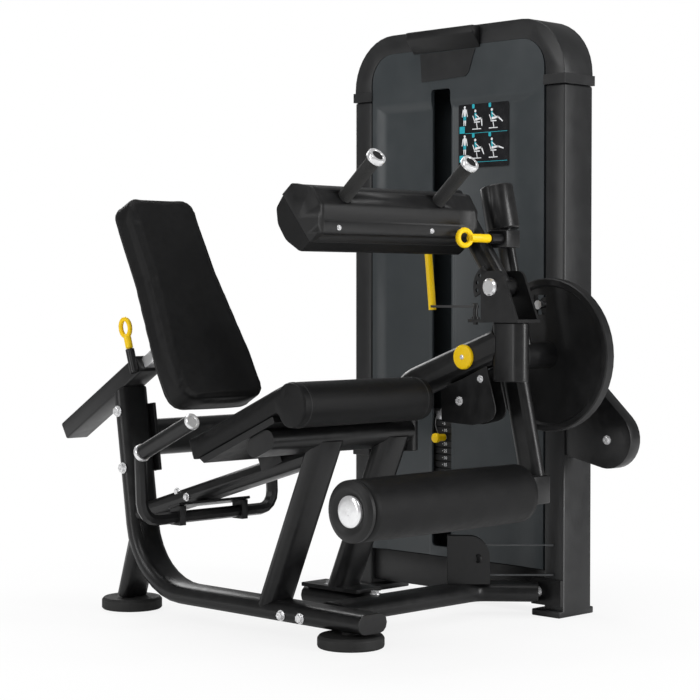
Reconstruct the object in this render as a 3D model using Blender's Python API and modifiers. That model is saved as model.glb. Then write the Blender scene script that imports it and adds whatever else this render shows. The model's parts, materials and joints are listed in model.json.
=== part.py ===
"""Seated leg extension and leg curl machine with a weight-stack tower.

Metres, +Z up. The user sits at X = 0 and faces -Y. The tower stands on the user's left, at +X.
Everything is laid out from the seat's centre plane (X), the tower's centre (Y) and the floor (Z),
and the whole machine is then moved so that its origin is at the middle of its footprint.
"""

import math

import bmesh
import bpy
from mathutils import Matrix, Vector

# ---------------------------------------------------------------- driving dimensions
GAP = 0.0003  # between faces that touch

TOWER_HEIGHT = 1.600
TOWER_WIDTH = 0.778  # along Y
TOWER_FRONT = 0.698  # X of the columns' front face
COLUMN_WIDTH = 0.066  # along Y
COLUMN_DEPTH = 0.120  # along X
COLLAR_BOTTOM = 1.417
COLLAR_TOP = 1.444
COLLAR_PROUD = 0.004
ARCH_RADIUS = 0.150
ARCH_BEAM = 0.053
FOOT_PLATE = (0.146, 0.095, 0.018)
FOOT_PLATE_START = 0.682  # X
PANEL_BOTTOM = 0.127
PANEL_SHEET = 0.010
SLOT_CENTRE = 0.053
SLOT_WIDTH = 0.072
SLOT_BOTTOM = 0.150
SLOT_TOP = 1.434

STACK_DEPTH = 0.080
STACK_WIDTH = 0.360
STACK_BOTTOM = 0.215
PLATE_PITCH = 0.0195
PLATE_THICK = 0.0185
RESTING_PLATES = 12
LIFTED_PLATES = 3
TOP_PLATE = 0.026
GUIDE_RADIUS = 0.0095
GUIDE_SPREAD = 0.110  # from the stack's centre to each guide rod
ROD_RADIUS = 0.012
ROD_BORE = 0.007
CABLE_RADIUS = 0.0025
TOP_PULLEY_RADIUS = 0.045

TUBE_WIDE = 0.100  # oval frame tube
TUBE_THICK = 0.050
RAIL_HEIGHT = 0.065  # centre of the floor rails
RAIL_FRONT = -0.365
POST_FOOT = 0.487  # Y where the post's line meets the rail's
POST_LEAN = math.radians(8.2)
POST_TOP = 0.625
POST_BEND = 0.200
FOOT_RADIUS = 0.0825
FOOT_HEIGHT = 0.032
FRONT_FOOT_Y = -0.290
REAR_FOOT_Y = 0.559
CROSS_RAIL_Y = -0.180
ARM_STRUT_X = 0.235

SEAT_X = 0.010
SEAT_WIDTH = 0.450
SEAT_TILT = math.radians(23.4)
SEAT_REAR = (0.073, 0.498)  # Y and Z of the pad's rear top edge
SEAT_LENGTH = 0.3825  # rear edge to the crest of the front roll
SEAT_THICK = 0.056
ROLL_RADIUS = 0.056
PAN_THICK = 0.017

BACK_TILT = math.radians(27.4)
BACK_FACE_BOTTOM = (0.163, 0.590)  # Y and Z of the pad's lowest front point
BACK_LENGTH = 0.597
BACK_TOP_WIDTH = 0.235
BACK_BOTTOM_WIDTH = 0.290
BACK_THICK = 0.075
BACK_TRAVEL = 0.120
SLIDE_LINE = 0.2335  # height of the slide's axis on the backrest, from its bottom edge
SLIDE_TILT = math.radians(31.0)
SLIDE_TUBE = (0.075, 0.050)
SLIDE_TUBE_START = 0.172
SLIDE_TUBE_LENGTH = 0.390
SLIDE_BAR = (0.036, 0.030)
PULL_LEAN = math.radians(17.8)
PULL_X = -0.046

ARM_X = 0.318
ARM_DEEP = 0.085
ARM_TILT = math.radians(20.3)
ARM_LEG_Y = -0.165
ARM_ELBOW_Z = 0.613
PIVOT_POST = (0.100, 0.050, 0.145)
PIVOT_POST_Y = -0.528
PIVOT_POST_BOTTOM = 0.645
KNEE = (-0.471, 0.705)  # Y and Z of the lever's axis
KNEE_AXLE_RADIUS = 0.020
RUNNING = 0.0005  # radial clearance of a bearing
LEVER_X = 0.390
LEVER_LEAN = math.radians(12.65)
LEVER_DEEP = 0.070
LEVER_WIDE = 0.040
LEVER_LENGTH = 0.312
HUB_RADIUS = 0.034
UPPER_ARM_X = 0.438
COUNTERWEIGHT_RADIUS = 0.0425
COUNTERWEIGHT_LENGTH = 0.115
COUNTERWEIGHT_REACH = 0.382
DISC_FRONT = 0.522
DISC_RADIUS = 0.196
DISC_RIM = 0.016
DISC_THICK = 0.030
CAM_RADIUS = 0.105
CAM_WIDE = 0.028

ROLLER = (-0.556, 0.373)  # Y and Z of the roller's axis
ROLLER_RADIUS = 0.0725
ROLLER_LEFT = -0.257
ROLLER_RIGHT = 0.309
ROLLER_SHAFT_RADIUS = 0.0125

PAD_PIVOT = (-0.495, 0.8775)  # Y and Z of the thigh arm's axis
PAD_BOLT_RADIUS = 0.010
BARREL_RADIUS = 0.025
BRACKET_NEAR = 0.279
BRACKET_FAR = 0.365
BRACKET_SHEET = 0.008
THIGH_ARM_X = 0.322
THIGH_ARM_END = (-0.330, 1.105)
THIGH_LEFT = -0.270
THIGH_RIGHT = 0.274
HANDLE_RADIUS = 0.017
HANDLE_LENGTH = 0.138
HANDLE_X = (-0.173, 0.146)
POP_PIN = (-0.478, 0.997)
POP_PIN_RADIUS = 0.006
PIN_BLOCK = (0.052, 0.060, 0.044)

GRIP_X = 0.225
GRIP_TUBE = 0.0160
GRIP_RADIUS = 0.0200

FLOOR_GUARD = (0.535, -0.198)
FLOOR_GUARD_SIZE = (0.112, 0.128)
FLOOR_PULLEY_RADIUS = 0.045
OUTRIGGER = (-0.526, 0.484)
OUTRIGGER_RADIUS = 0.078
OUTRIGGER_WIDE = 0.042
OUTRIGGER_PULLEY_RADIUS = 0.056
UNDER_PULLEY = (-0.395, 0.598)
UNDER_PULLEY_RADIUS = 0.038
PULLEY_WIDE = 0.018
GUARD_SHEET = 0.004

# ---------------------------------------------------------------- scene and finishes
for old in list(bpy.data.objects):
    bpy.data.objects.remove(old, do_unlink=True)

machine = bpy.data.collections.new("leg_extension_machine")
cutters = bpy.data.collections.new("cutters")
cutters.hide_render = True
bpy.context.scene.collection.children.link(machine)
bpy.context.scene.collection.children.link(cutters)


def finish(name, colour, roughness, metallic=0.0):
    """A plain Principled finish."""
    material = bpy.data.materials.new(name)
    material.use_nodes = True
    shader = material.node_tree.nodes["Principled BSDF"]
    shader.inputs["Base Color"].default_value = (*colour, 1.0)
    shader.inputs["Roughness"].default_value = roughness
    shader.inputs["Metallic"].default_value = metallic
    material.diffuse_color = (*colour, 1.0)
    return material


powder_black = finish("powder_coat_black", (0.020, 0.020, 0.021), 0.42)
column_grey = finish("column_grey", (0.045, 0.046, 0.048), 0.45)
panel_slate = finish("panel_slate", (0.060, 0.070, 0.076), 0.40)
chrome = finish("chrome", (0.80, 0.80, 0.81), 0.12, 1.0)
steel = finish("bright_steel", (0.55, 0.55, 0.56), 0.30, 1.0)
yellow = finish("yellow_plastic", (0.85, 0.58, 0.02), 0.40)
upholstery = finish("black_upholstery", (0.018, 0.018, 0.019), 0.55)
plastic = finish("black_plastic", (0.024, 0.024, 0.025), 0.48)
rubber = finish("black_rubber", (0.022, 0.022, 0.022), 0.75)
placard_black = finish("placard_black", (0.010, 0.011, 0.013), 0.25)
cable_coat = finish("cable_coat", (0.30, 0.31, 0.32), 0.40)
plate_iron = finish("plate_iron", (0.030, 0.030, 0.032), 0.50, 0.3)

# ---------------------------------------------------------------- modelling helpers


def holder(name, place, parent=None):
    """An empty that carries pieces, placed in the layout's own coordinates."""
    empty = bpy.data.objects.new(name, None)
    machine.objects.link(empty)
    empty["place"] = place
    empty.location = place
    if parent:
        empty.parent = parent
        empty.location = Vector(place) - Vector(parent["place"])
    return empty


def attach(piece, carrier, material):
    """Give a piece its finish and hang it, with its cutters, from the empty that carries it."""
    piece.data.materials.clear()
    piece.data.materials.append(material)
    tools = [m.object for m in piece.modifiers if m.type == "BOOLEAN"]
    for obj in [piece, *tools]:
        obj.parent = carrier
        obj.location = Vector(obj.location) - Vector(carrier["place"])
    for polygon in piece.data.polygons:
        polygon.use_smooth = True
    piece.data.set_sharp_from_angle(angle=math.radians(35))
    return piece


def new_object(name, data, location=(0, 0, 0), rotation=(0, 0, 0)):
    obj = bpy.data.objects.new(name, data)
    obj.location = location
    obj.rotation_euler = rotation
    machine.objects.link(obj)
    return obj


def bevelled(obj, width, segments=2):
    modifier = obj.modifiers.new("soft edges", "BEVEL")
    modifier.width = width
    modifier.segments = segments
    modifier.limit_method = "ANGLE"
    modifier.angle_limit = math.radians(40)
    return obj


def box(name, size, centre, rotation=(0, 0, 0), bevel=0.0):
    mesh = bpy.data.meshes.new(name)
    shape = bmesh.new()
    bmesh.ops.create_cube(shape, size=1.0)
    bmesh.ops.scale(shape, vec=size, verts=shape.verts)
    shape.to_mesh(mesh)
    shape.free()
    obj = new_object(name, mesh, centre, rotation)
    return bevelled(obj, bevel) if bevel else obj


def cylinder(name, radius, start, end, segments=32):
    """A straight round bar between two points."""
    start, end = Vector(start), Vector(end)
    mesh = bpy.data.meshes.new(name)
    shape = bmesh.new()
    bmesh.ops.create_cone(
        shape, cap_ends=True, segments=segments, radius1=radius, radius2=radius, depth=(end - start).length
    )
    shape.to_mesh(mesh)
    shape.free()
    turn = (end - start).to_track_quat("Z", "Y").to_euler()
    return new_object(name, mesh, (start + end) / 2, turn)


def turned(name, profile, centre, steps=32):
    """A turned piece on an X axis; the profile is (radius, X) from its +X end to its -X end."""
    mesh = bpy.data.meshes.new(name)
    points = [(radius, 0.0, height) for radius, height in profile]
    mesh.from_pydata(points, [(k, k + 1) for k in range(len(points) - 1)], [])
    obj = new_object(name, mesh, centre, (0, math.radians(90), 0))
    screw = obj.modifiers.new("turn", "SCREW")
    screw.axis = "Z"
    screw.steps = steps
    screw.render_steps = steps
    screw.use_merge_vertices = True
    screw.merge_threshold = 0.00001
    return obj


def solid_of(curve_obj):
    """Make a curve object into a mesh object with welded ends, at the same place."""
    bpy.context.view_layer.update()
    graph = bpy.context.evaluated_depsgraph_get()
    mesh = bpy.data.meshes.new_from_object(curve_obj.evaluated_get(graph))
    shape = bmesh.new()
    shape.from_mesh(mesh)
    bmesh.ops.remove_doubles(shape, verts=shape.verts, dist=0.00001)
    bmesh.ops.recalc_face_normals(shape, faces=shape.faces)
    shape.to_mesh(mesh)
    shape.free()
    name = curve_obj.name
    location, rotation = curve_obj.location.copy(), curve_obj.rotation_euler.copy()
    bpy.data.objects.remove(curve_obj, do_unlink=True)
    return new_object(name, mesh, location, rotation)


def poly_spline(curve, points, cyclic):
    spline = curve.splines.new("POLY")
    spline.points.add(len(points) - 1)
    for target, point in zip(spline.points, points):
        target.co = (*point, *(0.0,) * (3 - len(point)), 1.0)
    spline.use_cyclic_u = cyclic


PLANE_TURN = {"YZ": (math.radians(90), 0, math.radians(90)), "XY": (0, 0, 0), "XZ": (math.radians(90), 0, 0)}
PLANE_AXIS = {"YZ": Vector((1, 0, 0)), "XY": Vector((0, 0, 1)), "XZ": Vector((0, -1, 0))}


def plate(name, outline, plane, low, high, bevel=0.0):
    """A flat outline made solid between two heights above its plane."""
    curve = bpy.data.curves.new(name, "CURVE")
    curve.dimensions = "2D"
    curve.fill_mode = "BOTH"
    curve.extrude = (high - low) / 2
    poly_spline(curve, outline, True)
    obj = new_object(name, curve, PLANE_AXIS[plane] * (low + high) / 2, PLANE_TURN[plane])
    obj = solid_of(obj)
    return bevelled(obj, bevel) if bevel else obj


def arc(centre, radius, start, end, steps):
    """Points on an arc, in degrees, with both ends."""
    angles = [math.radians(start + (end - start) * k / steps) for k in range(steps + 1)]
    return [(centre[0] + radius * math.cos(a), centre[1] + radius * math.sin(a)) for a in angles]


def rounded(points, radius, steps=4, cyclic=True):
    """An outline or a path with each corner rounded by a tangent arc; works in 2D and in 3D."""
    points = [Vector(p) for p in points]
    count = len(points)
    radii = radius if isinstance(radius, (list, tuple)) else [radius] * count
    result = []
    for k, corner in enumerate(points):
        if not cyclic and k in (0, count - 1) or radii[k] <= 0:
            result.append(tuple(corner))
            continue
        back = (points[k - 1] - corner).normalized()
        ahead = (points[(k + 1) % count] - corner).normalized()
        half = back.angle(ahead) / 2
        reach = radii[k] / math.tan(half)
        middle = corner + (back + ahead).normalized() * radii[k] / math.sin(half)
        first = corner + back * reach - middle
        last = corner + ahead * reach - middle
        sweep = first.angle(last)
        for step in range(steps + 1):
            share = step / steps
            mixed = first * math.sin((1 - share) * sweep) + last * math.sin(share * sweep)
            result.append(tuple(middle + mixed / math.sin(sweep)))
    return result


def stadium(centre, length, width, angle=0.0, steps=6):
    """An oval outline: two half rounds joined by straight sides, its long axis at an angle."""
    radius, half = width / 2, (length - width) / 2
    ends = arc((half, 0), radius, -90, 90, steps) + arc((-half, 0), radius, 90, 270, steps)
    turn = Matrix.Rotation(angle, 2)
    return [tuple(Vector(centre) + turn @ Vector(p)) for p in ends]


def oval_tube(name, path, plane, offset, in_plane, across, steps=6):
    """An oval bar that follows a path in a plane."""
    section = bpy.data.curves.new(name + "_section", "CURVE")
    section.dimensions = "2D"
    if in_plane >= across:
        poly_spline(section, stadium((0, 0), in_plane, across, 0.0, steps), True)
    else:
        poly_spline(section, stadium((0, 0), across, in_plane, math.radians(90), steps), True)
    section_obj = bpy.data.objects.new(name + "_section", section)
    machine.objects.link(section_obj)
    curve = bpy.data.curves.new(name, "CURVE")
    curve.dimensions = "2D"
    curve.fill_mode = "NONE"
    curve.bevel_mode = "OBJECT"
    curve.bevel_object = section_obj
    curve.use_fill_caps = True
    poly_spline(curve, path, False)
    obj = solid_of(new_object(name, curve, PLANE_AXIS[plane] * offset, PLANE_TURN[plane]))
    bpy.data.objects.remove(section_obj, do_unlink=True)
    return obj


def round_tube(name, path, radius, sides=2):
    """A round bar that follows a path in space."""
    curve = bpy.data.curves.new(name, "CURVE")
    curve.dimensions = "3D"
    curve.bevel_depth = radius
    curve.bevel_resolution = sides
    curve.use_fill_caps = True
    poly_spline(curve, path, False)
    return solid_of(new_object(name, curve))


def combine(piece, other, operation):
    """Add another solid to a piece, or cut it out, with a live Boolean."""
    machine.objects.unlink(other)
    cutters.objects.link(other)
    other.hide_render = True
    other.display_type = "WIRE"
    modifier = piece.modifiers.new(operation.lower() + " " + other.name, "BOOLEAN")
    modifier.operation = operation
    modifier.solver = "EXACT"
    modifier.object = other
    return piece


def cut(piece, *others):
    for other in others:
        combine(piece, other, "DIFFERENCE")
    return piece


def join(piece, *others):
    for other in others:
        combine(piece, other, "UNION")
    return piece


# ---------------------------------------------------------------- carriers, on the joints' axes
root = holder("machine", (0.0, 0.0, 0.0))
knee = holder("knee_axis", (LEVER_X, *KNEE), root)
roller_axis = holder("roller_axis", (0.0, *ROLLER), knee)
thigh = holder("thigh_axis", (THIGH_ARM_X, *PAD_PIVOT), root)
pop = holder("pop_pin_axis", (BRACKET_NEAR, *POP_PIN), thigh)

BACK_UP = Vector((0, math.sin(BACK_TILT), math.cos(BACK_TILT)))
BACK_OUT = Vector((0, math.cos(BACK_TILT), -math.sin(BACK_TILT)))
BACK_ORIGIN = Vector((0, *BACK_FACE_BOTTOM))
SLIDE_ORIGIN = BACK_ORIGIN + BACK_UP * SLIDE_LINE + BACK_OUT * BACK_THICK
SLIDE_OUT = Vector((0, math.cos(SLIDE_TILT), -math.sin(SLIDE_TILT)))
SLIDE_UP = Vector((0, math.sin(SLIDE_TILT), math.cos(SLIDE_TILT)))
backrest = holder("backrest_slide_axis", tuple(SLIDE_ORIGIN), root)

# ---------------------------------------------------------------- floor frame
POST_DIRECTION = Vector((math.sin(POST_LEAN), math.cos(POST_LEAN)))
RAIL_PATH = [
    (RAIL_FRONT, RAIL_HEIGHT),
    (POST_FOOT, RAIL_HEIGHT),
    tuple(Vector((POST_FOOT, RAIL_HEIGHT)) + POST_DIRECTION * (POST_TOP + 0.06 - RAIL_HEIGHT)),
]
RAIL_TOP = RAIL_HEIGHT + TUBE_THICK / 2
RAIL_BOTTOM = RAIL_HEIGHT - TUBE_THICK / 2


def post_at(height):
    """Y of the post's centre line at a height."""
    return POST_FOOT + (height - RAIL_HEIGHT) * math.tan(POST_LEAN)


def rail_solid(name, grow=0.0):
    path = rounded(RAIL_PATH, POST_BEND, 8, cyclic=False)
    return oval_tube(name, path, "YZ", 0.0, TUBE_THICK + 2 * grow, TUBE_WIDE + 2 * grow)


def slide_frame_point(along, up=0.0):
    """Y and Z of a point on the slide's axis, behind the backrest."""
    point = SLIDE_ORIGIN + SLIDE_OUT * along + SLIDE_UP * up
    return (point.y, point.z)


SLIDE_TUBE_END = SLIDE_TUBE_START + SLIDE_TUBE_LENGTH

main_rail = rail_solid("main_rail")
above_slide = plate(
    "above_slide",
    [
        slide_frame_point(-0.20, -SLIDE_TUBE[1] / 2 - GAP),
        slide_frame_point(0.60, -SLIDE_TUBE[1] / 2 - GAP),
        slide_frame_point(0.60, 0.30),
        slide_frame_point(-0.20, 0.30),
    ],
    "YZ",
    -TUBE_WIDE,
    TUBE_WIDE,
)
rear_leg = oval_tube(
    "rear_leg_stub",
    [(REAR_FOOT_Y, FOOT_HEIGHT + GAP + 0.004), (post_at(0.20), 0.20)],
    "YZ",
    0.0,
    TUBE_THICK * 0.9,
    TUBE_WIDE * 0.9,
)
below_foot_top = box("below_foot_top", (0.4, 0.4, 0.1), (0.0, REAR_FOOT_Y, FOOT_HEIGHT + 0.0018 - 0.05))
attach(cut(join(cut(main_rail, above_slide), rear_leg), below_foot_top), root, powder_black)


def levelling_foot(name, y, top):
    profile = [
        (0.0, top),
        (0.022, top),
        (0.022, FOOT_HEIGHT),
        (FOOT_RADIUS - 0.006, FOOT_HEIGHT),
        (FOOT_RADIUS, FOOT_HEIGHT - 0.007),
        (FOOT_RADIUS, 0.004),
        (FOOT_RADIUS - 0.004, 0.0),
        (0.0, 0.0),
    ]
    foot = turned(name, profile, (0, y, 0))
    foot.rotation_euler = (0, 0, 0)
    return attach(foot, root, rubber)


levelling_foot("front_foot", FRONT_FOOT_Y, RAIL_BOTTOM - GAP)
levelling_foot("rear_foot", REAR_FOOT_Y, FOOT_HEIGHT + 0.0015)

CROSS_START = TUBE_WIDE / 2 + GAP
COLUMN_EDGE = TOWER_WIDTH / 2
FLANGE_THICK = 0.010
cross_path = rounded(
    [
        (CROSS_START, CROSS_RAIL_Y),
        (TOWER_FRONT - 0.125, CROSS_RAIL_Y),
        (TOWER_FRONT - 0.010, -COLUMN_EDGE + COLUMN_WIDTH + 0.012),
    ],
    0.08,
    6,
    cyclic=False,
)
cross_rail = oval_tube("cross_rail", cross_path, "XY", RAIL_HEIGHT, TUBE_WIDE, TUBE_THICK)
cross_flange = box(
    "cross_flange",
    (FLANGE_THICK, 0.100, TUBE_THICK + 0.020),
    (TOWER_FRONT - GAP - FLANGE_THICK / 2, -COLUMN_EDGE + COLUMN_WIDTH - 0.015, RAIL_HEIGHT),
)
beyond_flange = box(
    "beyond_flange", (0.2, 0.3, 0.2), (TOWER_FRONT - GAP + 0.1, -COLUMN_EDGE + COLUMN_WIDTH, RAIL_HEIGHT)
)
beside_rail = rail_solid("beside_rail", GAP)
CROSS_REAR = CROSS_RAIL_Y + TUBE_WIDE / 2
strut_foot = oval_tube(
    "strut_foot",
    [(0.092, RAIL_HEIGHT), (CROSS_REAR - 0.04, RAIL_HEIGHT)],
    "YZ",
    ARM_STRUT_X,
    TUBE_THICK - 0.001,
    0.080,
)
join(cross_rail, cross_flange, strut_foot)
attach(cut(cross_rail, beyond_flange, beside_rail), root, powder_black)

# ---------------------------------------------------------------- seat and its frame
SEAT_FORWARD = Vector((-math.cos(SEAT_TILT), math.sin(SEAT_TILT)))
SEAT_UP = Vector((math.sin(SEAT_TILT), math.cos(SEAT_TILT)))


def seat_point(forward, up):
    """Y and Z of a point given along the seat's top face and above it."""
    point = Vector(SEAT_REAR) + SEAT_FORWARD * forward + SEAT_UP * up
    return (point.x, point.y)


PAD_BASE = -SEAT_THICK
PAN_BASE = PAD_BASE - GAP - PAN_THICK
CROSS_TUBE_FORWARD = 0.236
STRUT_TOP_FORWARD = 0.262
CROSS_TUBE_CENTRE = seat_point(CROSS_TUBE_FORWARD, PAN_BASE - GAP - TUBE_THICK / 2)
STRUT_TOP = seat_point(STRUT_TOP_FORWARD, PAN_BASE - GAP - TUBE_THICK / 2 - 0.004)
PAN_FORWARD = (0.020, 0.312)

roll_angles = [math.degrees(math.atan2(*reversed(SEAT_UP))) + turn for turn in (0, 230)]
roll_centre = seat_point(SEAT_LENGTH, -ROLL_RADIUS)
seat_outline = [
    seat_point(0.0, PAD_BASE),
    seat_point(0.0, 0.0),
    *arc(roll_centre, ROLL_RADIUS, *roll_angles, 14),
    seat_point(SEAT_LENGTH - ROLL_RADIUS * 0.9, PAD_BASE),
]
half_seat = SEAT_WIDTH / 2
seat_pad = plate("seat_pad", seat_outline, "YZ", SEAT_X - half_seat, SEAT_X + half_seat, bevel=0.010)
attach(seat_pad, root, upholstery)

pan_outline = [
    seat_point(PAN_FORWARD[0], PAD_BASE - GAP),
    seat_point(PAN_FORWARD[1], PAD_BASE - GAP),
    seat_point(PAN_FORWARD[1], PAN_BASE),
    seat_point(PAN_FORWARD[0] + 0.012, PAN_BASE),
]
pan_half = half_seat - 0.006
seat_pan = plate("seat_pan", pan_outline, "YZ", SEAT_X - pan_half, SEAT_X + pan_half)
attach(seat_pan, root, plastic)

CROSS_TUBE_LEFT = -0.200
cross_section = stadium(CROSS_TUBE_CENTRE, TUBE_WIDE, TUBE_THICK, -SEAT_TILT, 8)
cross_tube = plate("cross_tube", cross_section, "YZ", CROSS_TUBE_LEFT, ARM_X - TUBE_THICK / 2 - GAP)


def under_cross_tube(name):
    """The cross tube, a gap larger all round, for coping what meets it."""
    outline = stadium(CROSS_TUBE_CENTRE, TUBE_WIDE + 2 * GAP, TUBE_THICK + 2 * GAP, -SEAT_TILT, 8)
    return plate(name, outline, "YZ", CROSS_TUBE_LEFT - 0.05, ARM_X + 0.1)


SEAT_STRUT_FOOT = -0.0125
seat_strut = oval_tube(
    "seat_strut",
    [(SEAT_STRUT_FOOT, RAIL_HEIGHT), STRUT_TOP],
    "YZ",
    0.0,
    TUBE_THICK,
    TUBE_WIDE - 0.002,
)
attach(cut(join(seat_strut, cross_tube), rail_solid("under_strut", GAP)), root, powder_black)

STRUT_RUN = Vector(STRUT_TOP) - Vector((SEAT_STRUT_FOOT, RAIL_HEIGHT))
arm_strut_foot = Vector(STRUT_TOP) - STRUT_RUN * 0.86
arm_strut_base = arm_strut_foot + STRUT_RUN.normalized() * (RAIL_TOP + 0.004 - arm_strut_foot.y)
STRUT_FLANGE = (0.090, 0.205, 0.010)
arm_strut = oval_tube(
    "arm_strut",
    [tuple(arm_strut_base), STRUT_TOP],
    "YZ",
    ARM_STRUT_X,
    TUBE_THICK,
    TUBE_WIDE - 0.002,
)
strut_flange = box(
    "strut_flange",
    STRUT_FLANGE,
    (ARM_STRUT_X, arm_strut_base.x + 0.008, RAIL_TOP + GAP + STRUT_FLANGE[2] / 2),
)
below_flange = box("below_flange", (0.3, 0.4, 0.1), (ARM_STRUT_X, arm_strut_base.x, RAIL_TOP + GAP - 0.05))
join(arm_strut, strut_flange)
attach(cut(arm_strut, below_flange, under_cross_tube("over_arm_strut")), root, powder_black)

SEAT_RAIL_FOOT = 0.262
SEAT_RAIL_WIDE = 0.080
rail_start = Vector((post_at(SEAT_RAIL_FOOT) - 0.004, SEAT_RAIL_FOOT))
rail_stop = Vector(STRUT_TOP) + Vector((0.040, -0.046))
seat_rail = oval_tube(
    "seat_rail", [tuple(rail_start), tuple(rail_stop)], "YZ", 0.0, TUBE_THICK, SEAT_RAIL_WIDE
)
before_strut = oval_tube(
    "before_strut",
    [(SEAT_STRUT_FOOT, RAIL_HEIGHT), STRUT_TOP],
    "YZ",
    0.0,
    TUBE_THICK + 2 * GAP,
    TUBE_WIDE,
)
pan_rest = plate(
    "pan_rest",
    [
        seat_point(0.045, PAN_BASE - GAP),
        seat_point(0.045, PAN_BASE - 0.040),
        seat_point(0.125, PAN_BASE - 0.040),
        seat_point(0.125, PAN_BASE - GAP),
    ],
    "YZ",
    -0.040,
    0.040,
)
attach(
    cut(
        join(seat_rail, pan_rest),
        rail_solid("beside_post", GAP),
        before_strut,
        under_cross_tube("beside_cross_tube"),
    ),
    root,
    powder_black,
)

# ---------------------------------------------------------------- rear brace from the post to the tower
BRACE_HEIGHT = 0.467
BRACE_Y = post_at(BRACE_HEIGHT)
REAR_COLUMN_Y = COLUMN_EDGE - COLUMN_WIDTH / 2
brace_path = rounded(
    [
        (TUBE_WIDE / 2 + GAP + 0.002, BRACE_Y),
        (TOWER_FRONT - 0.180, BRACE_Y),
        (TOWER_FRONT - 0.004, REAR_COLUMN_Y + 0.022),
    ],
    0.09,
    6,
    cyclic=False,
)
rear_brace = oval_tube("rear_brace", brace_path, "XY", BRACE_HEIGHT, TUBE_THICK, TUBE_WIDE)
post_plate = box(
    "post_plate",
    (FLANGE_THICK, 0.062, 0.186),
    (TUBE_WIDE / 2 + GAP + FLANGE_THICK / 2, BRACE_Y, BRACE_HEIGHT),
    (-POST_LEAN, 0, 0),
)
column_plate = box(
    "column_plate",
    (FLANGE_THICK, COLUMN_WIDTH, 0.150),
    (TOWER_FRONT - GAP - FLANGE_THICK / 2, REAR_COLUMN_Y, BRACE_HEIGHT),
)
beyond_plate = box("beyond_plate", (0.2, 0.4, 0.4), (TOWER_FRONT - GAP + 0.1, REAR_COLUMN_Y, BRACE_HEIGHT))
join(rear_brace, post_plate, column_plate)
attach(cut(rear_brace, beyond_plate), root, powder_black)

# ---------------------------------------------------------------- hand grips under the seat
GRIP_TOP = (0.044, 0.5437)
GRIP_BOTTOM = (0.242, 0.4538)
GRIP_CROSS = (0.234, 0.284)
half_path = [(GRIP_X, *GRIP_TOP), (GRIP_X, *GRIP_BOTTOM), (GRIP_X, *GRIP_CROSS)]
grip_path = rounded(
    [(-x, y, z) for x, y, z in half_path] + half_path[::-1],
    [0.0, 0.024, 0.045, 0.045, 0.024, 0.0],
    4,
    cyclic=False,
)
grip_bar = round_tube("grip_bar", grip_path, GRIP_TUBE)
grip_axis = (Vector(half_path[0]) - Vector(half_path[1])).normalized()


def grip_sleeve(name, side):
    """The thick hand part at one end of the bar."""
    flip = Vector((side, 1, 1))
    start = (Vector(half_path[1]) + grip_axis * 0.016) * flip
    end = (Vector(half_path[0]) + grip_axis * 0.006) * flip
    return cylinder(name, GRIP_RADIUS, start, end, 24)


rail_slope = math.atan2(rail_stop.y - rail_start.y, rail_start.x - rail_stop.x)
CLAMP_X = 0.107
PLATE_SHEET = 0.007


def clamp_height(y):
    """Height of the cross plate's middle, under the seat rail."""
    centre = rail_start.y + (rail_start.x - y) * math.tan(rail_slope)
    return centre - (TUBE_THICK / 2 + GAP + PLATE_SHEET / 2 - 0.001) / math.cos(rail_slope)


plate_z = clamp_height(GRIP_CROSS[0])
cross_plate = box(
    "cross_plate", (2 * CLAMP_X + 0.030, 0.048, PLATE_SHEET), (0, GRIP_CROSS[0], plate_z), (-rail_slope, 0, 0)
)


def bar_clamp(name, x):
    """A lug that holds the bar under the cross plate."""
    low = GRIP_CROSS[1] - GRIP_TUBE - 0.004
    return box(name, (0.020, 0.040, plate_z - low), (x, GRIP_CROSS[0], (plate_z + low) / 2))


rail_over_bar = oval_tube(
    "rail_over_bar",
    [tuple(rail_start), tuple(rail_stop)],
    "YZ",
    0.0,
    TUBE_THICK + 2 * GAP,
    SEAT_RAIL_WIDE + 2 * GAP,
)
join(grip_bar, grip_sleeve("left_sleeve", 1), grip_sleeve("right_sleeve", -1))
join(grip_bar, bar_clamp("left_clamp", CLAMP_X), bar_clamp("right_clamp", -CLAMP_X), cross_plate)
attach(cut(grip_bar, rail_over_bar), root, powder_black)

# ---------------------------------------------------------------- backrest and its slide
back_turn = (-BACK_TILT, 0, 0)


def back_outline():
    """The pad seen from the front: waisted sides and round corners."""
    top, bottom, height = BACK_TOP_WIDTH / 2, BACK_BOTTOM_WIDTH / 2, BACK_LENGTH
    side = [(bottom, 0.0), (bottom, height * 0.22), (top * 1.03, height * 0.62), (top, height)]
    corners = [*side, *[(-x, y) for x, y in reversed(side)]]
    return rounded(corners, [0.045, 0.25, 0.25, 0.040, 0.040, 0.25, 0.25, 0.045], 3)


backrest_pad = plate("backrest_pad", back_outline(), "XZ", 0.0, BACK_THICK - GAP)
backrest_pad.rotation_euler = (math.radians(90) - BACK_TILT, 0, 0)
backrest_pad.location = BACK_ORIGIN + BACK_OUT * (BACK_THICK - GAP) / 2
attach(bevelled(backrest_pad, 0.014, 2), backrest, upholstery)


def along_slide(name, size, start, end, up=0.0, x=0.0, bevel=0.0):
    """A box whose long side lies along the slide, from start to end behind the backrest."""
    centre = SLIDE_ORIGIN + SLIDE_OUT * (start + end) / 2 + SLIDE_UP * up + Vector((x, 0, 0))
    return box(name, (size[0], end - start, size[1]), centre, (-SLIDE_TILT, 0, 0), bevel)


slide_bar = along_slide("backrest_slide", SLIDE_BAR, 0.0032, SLIDE_TUBE_START + 0.170)
back_plate = box(
    "back_plate",
    (0.120, 0.006 - GAP, 0.200),
    SLIDE_ORIGIN + BACK_OUT * (0.006 + GAP) / 2,
    back_turn,
    bevel=0.002,
)
attach(join(slide_bar, back_plate), backrest, chrome)

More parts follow.
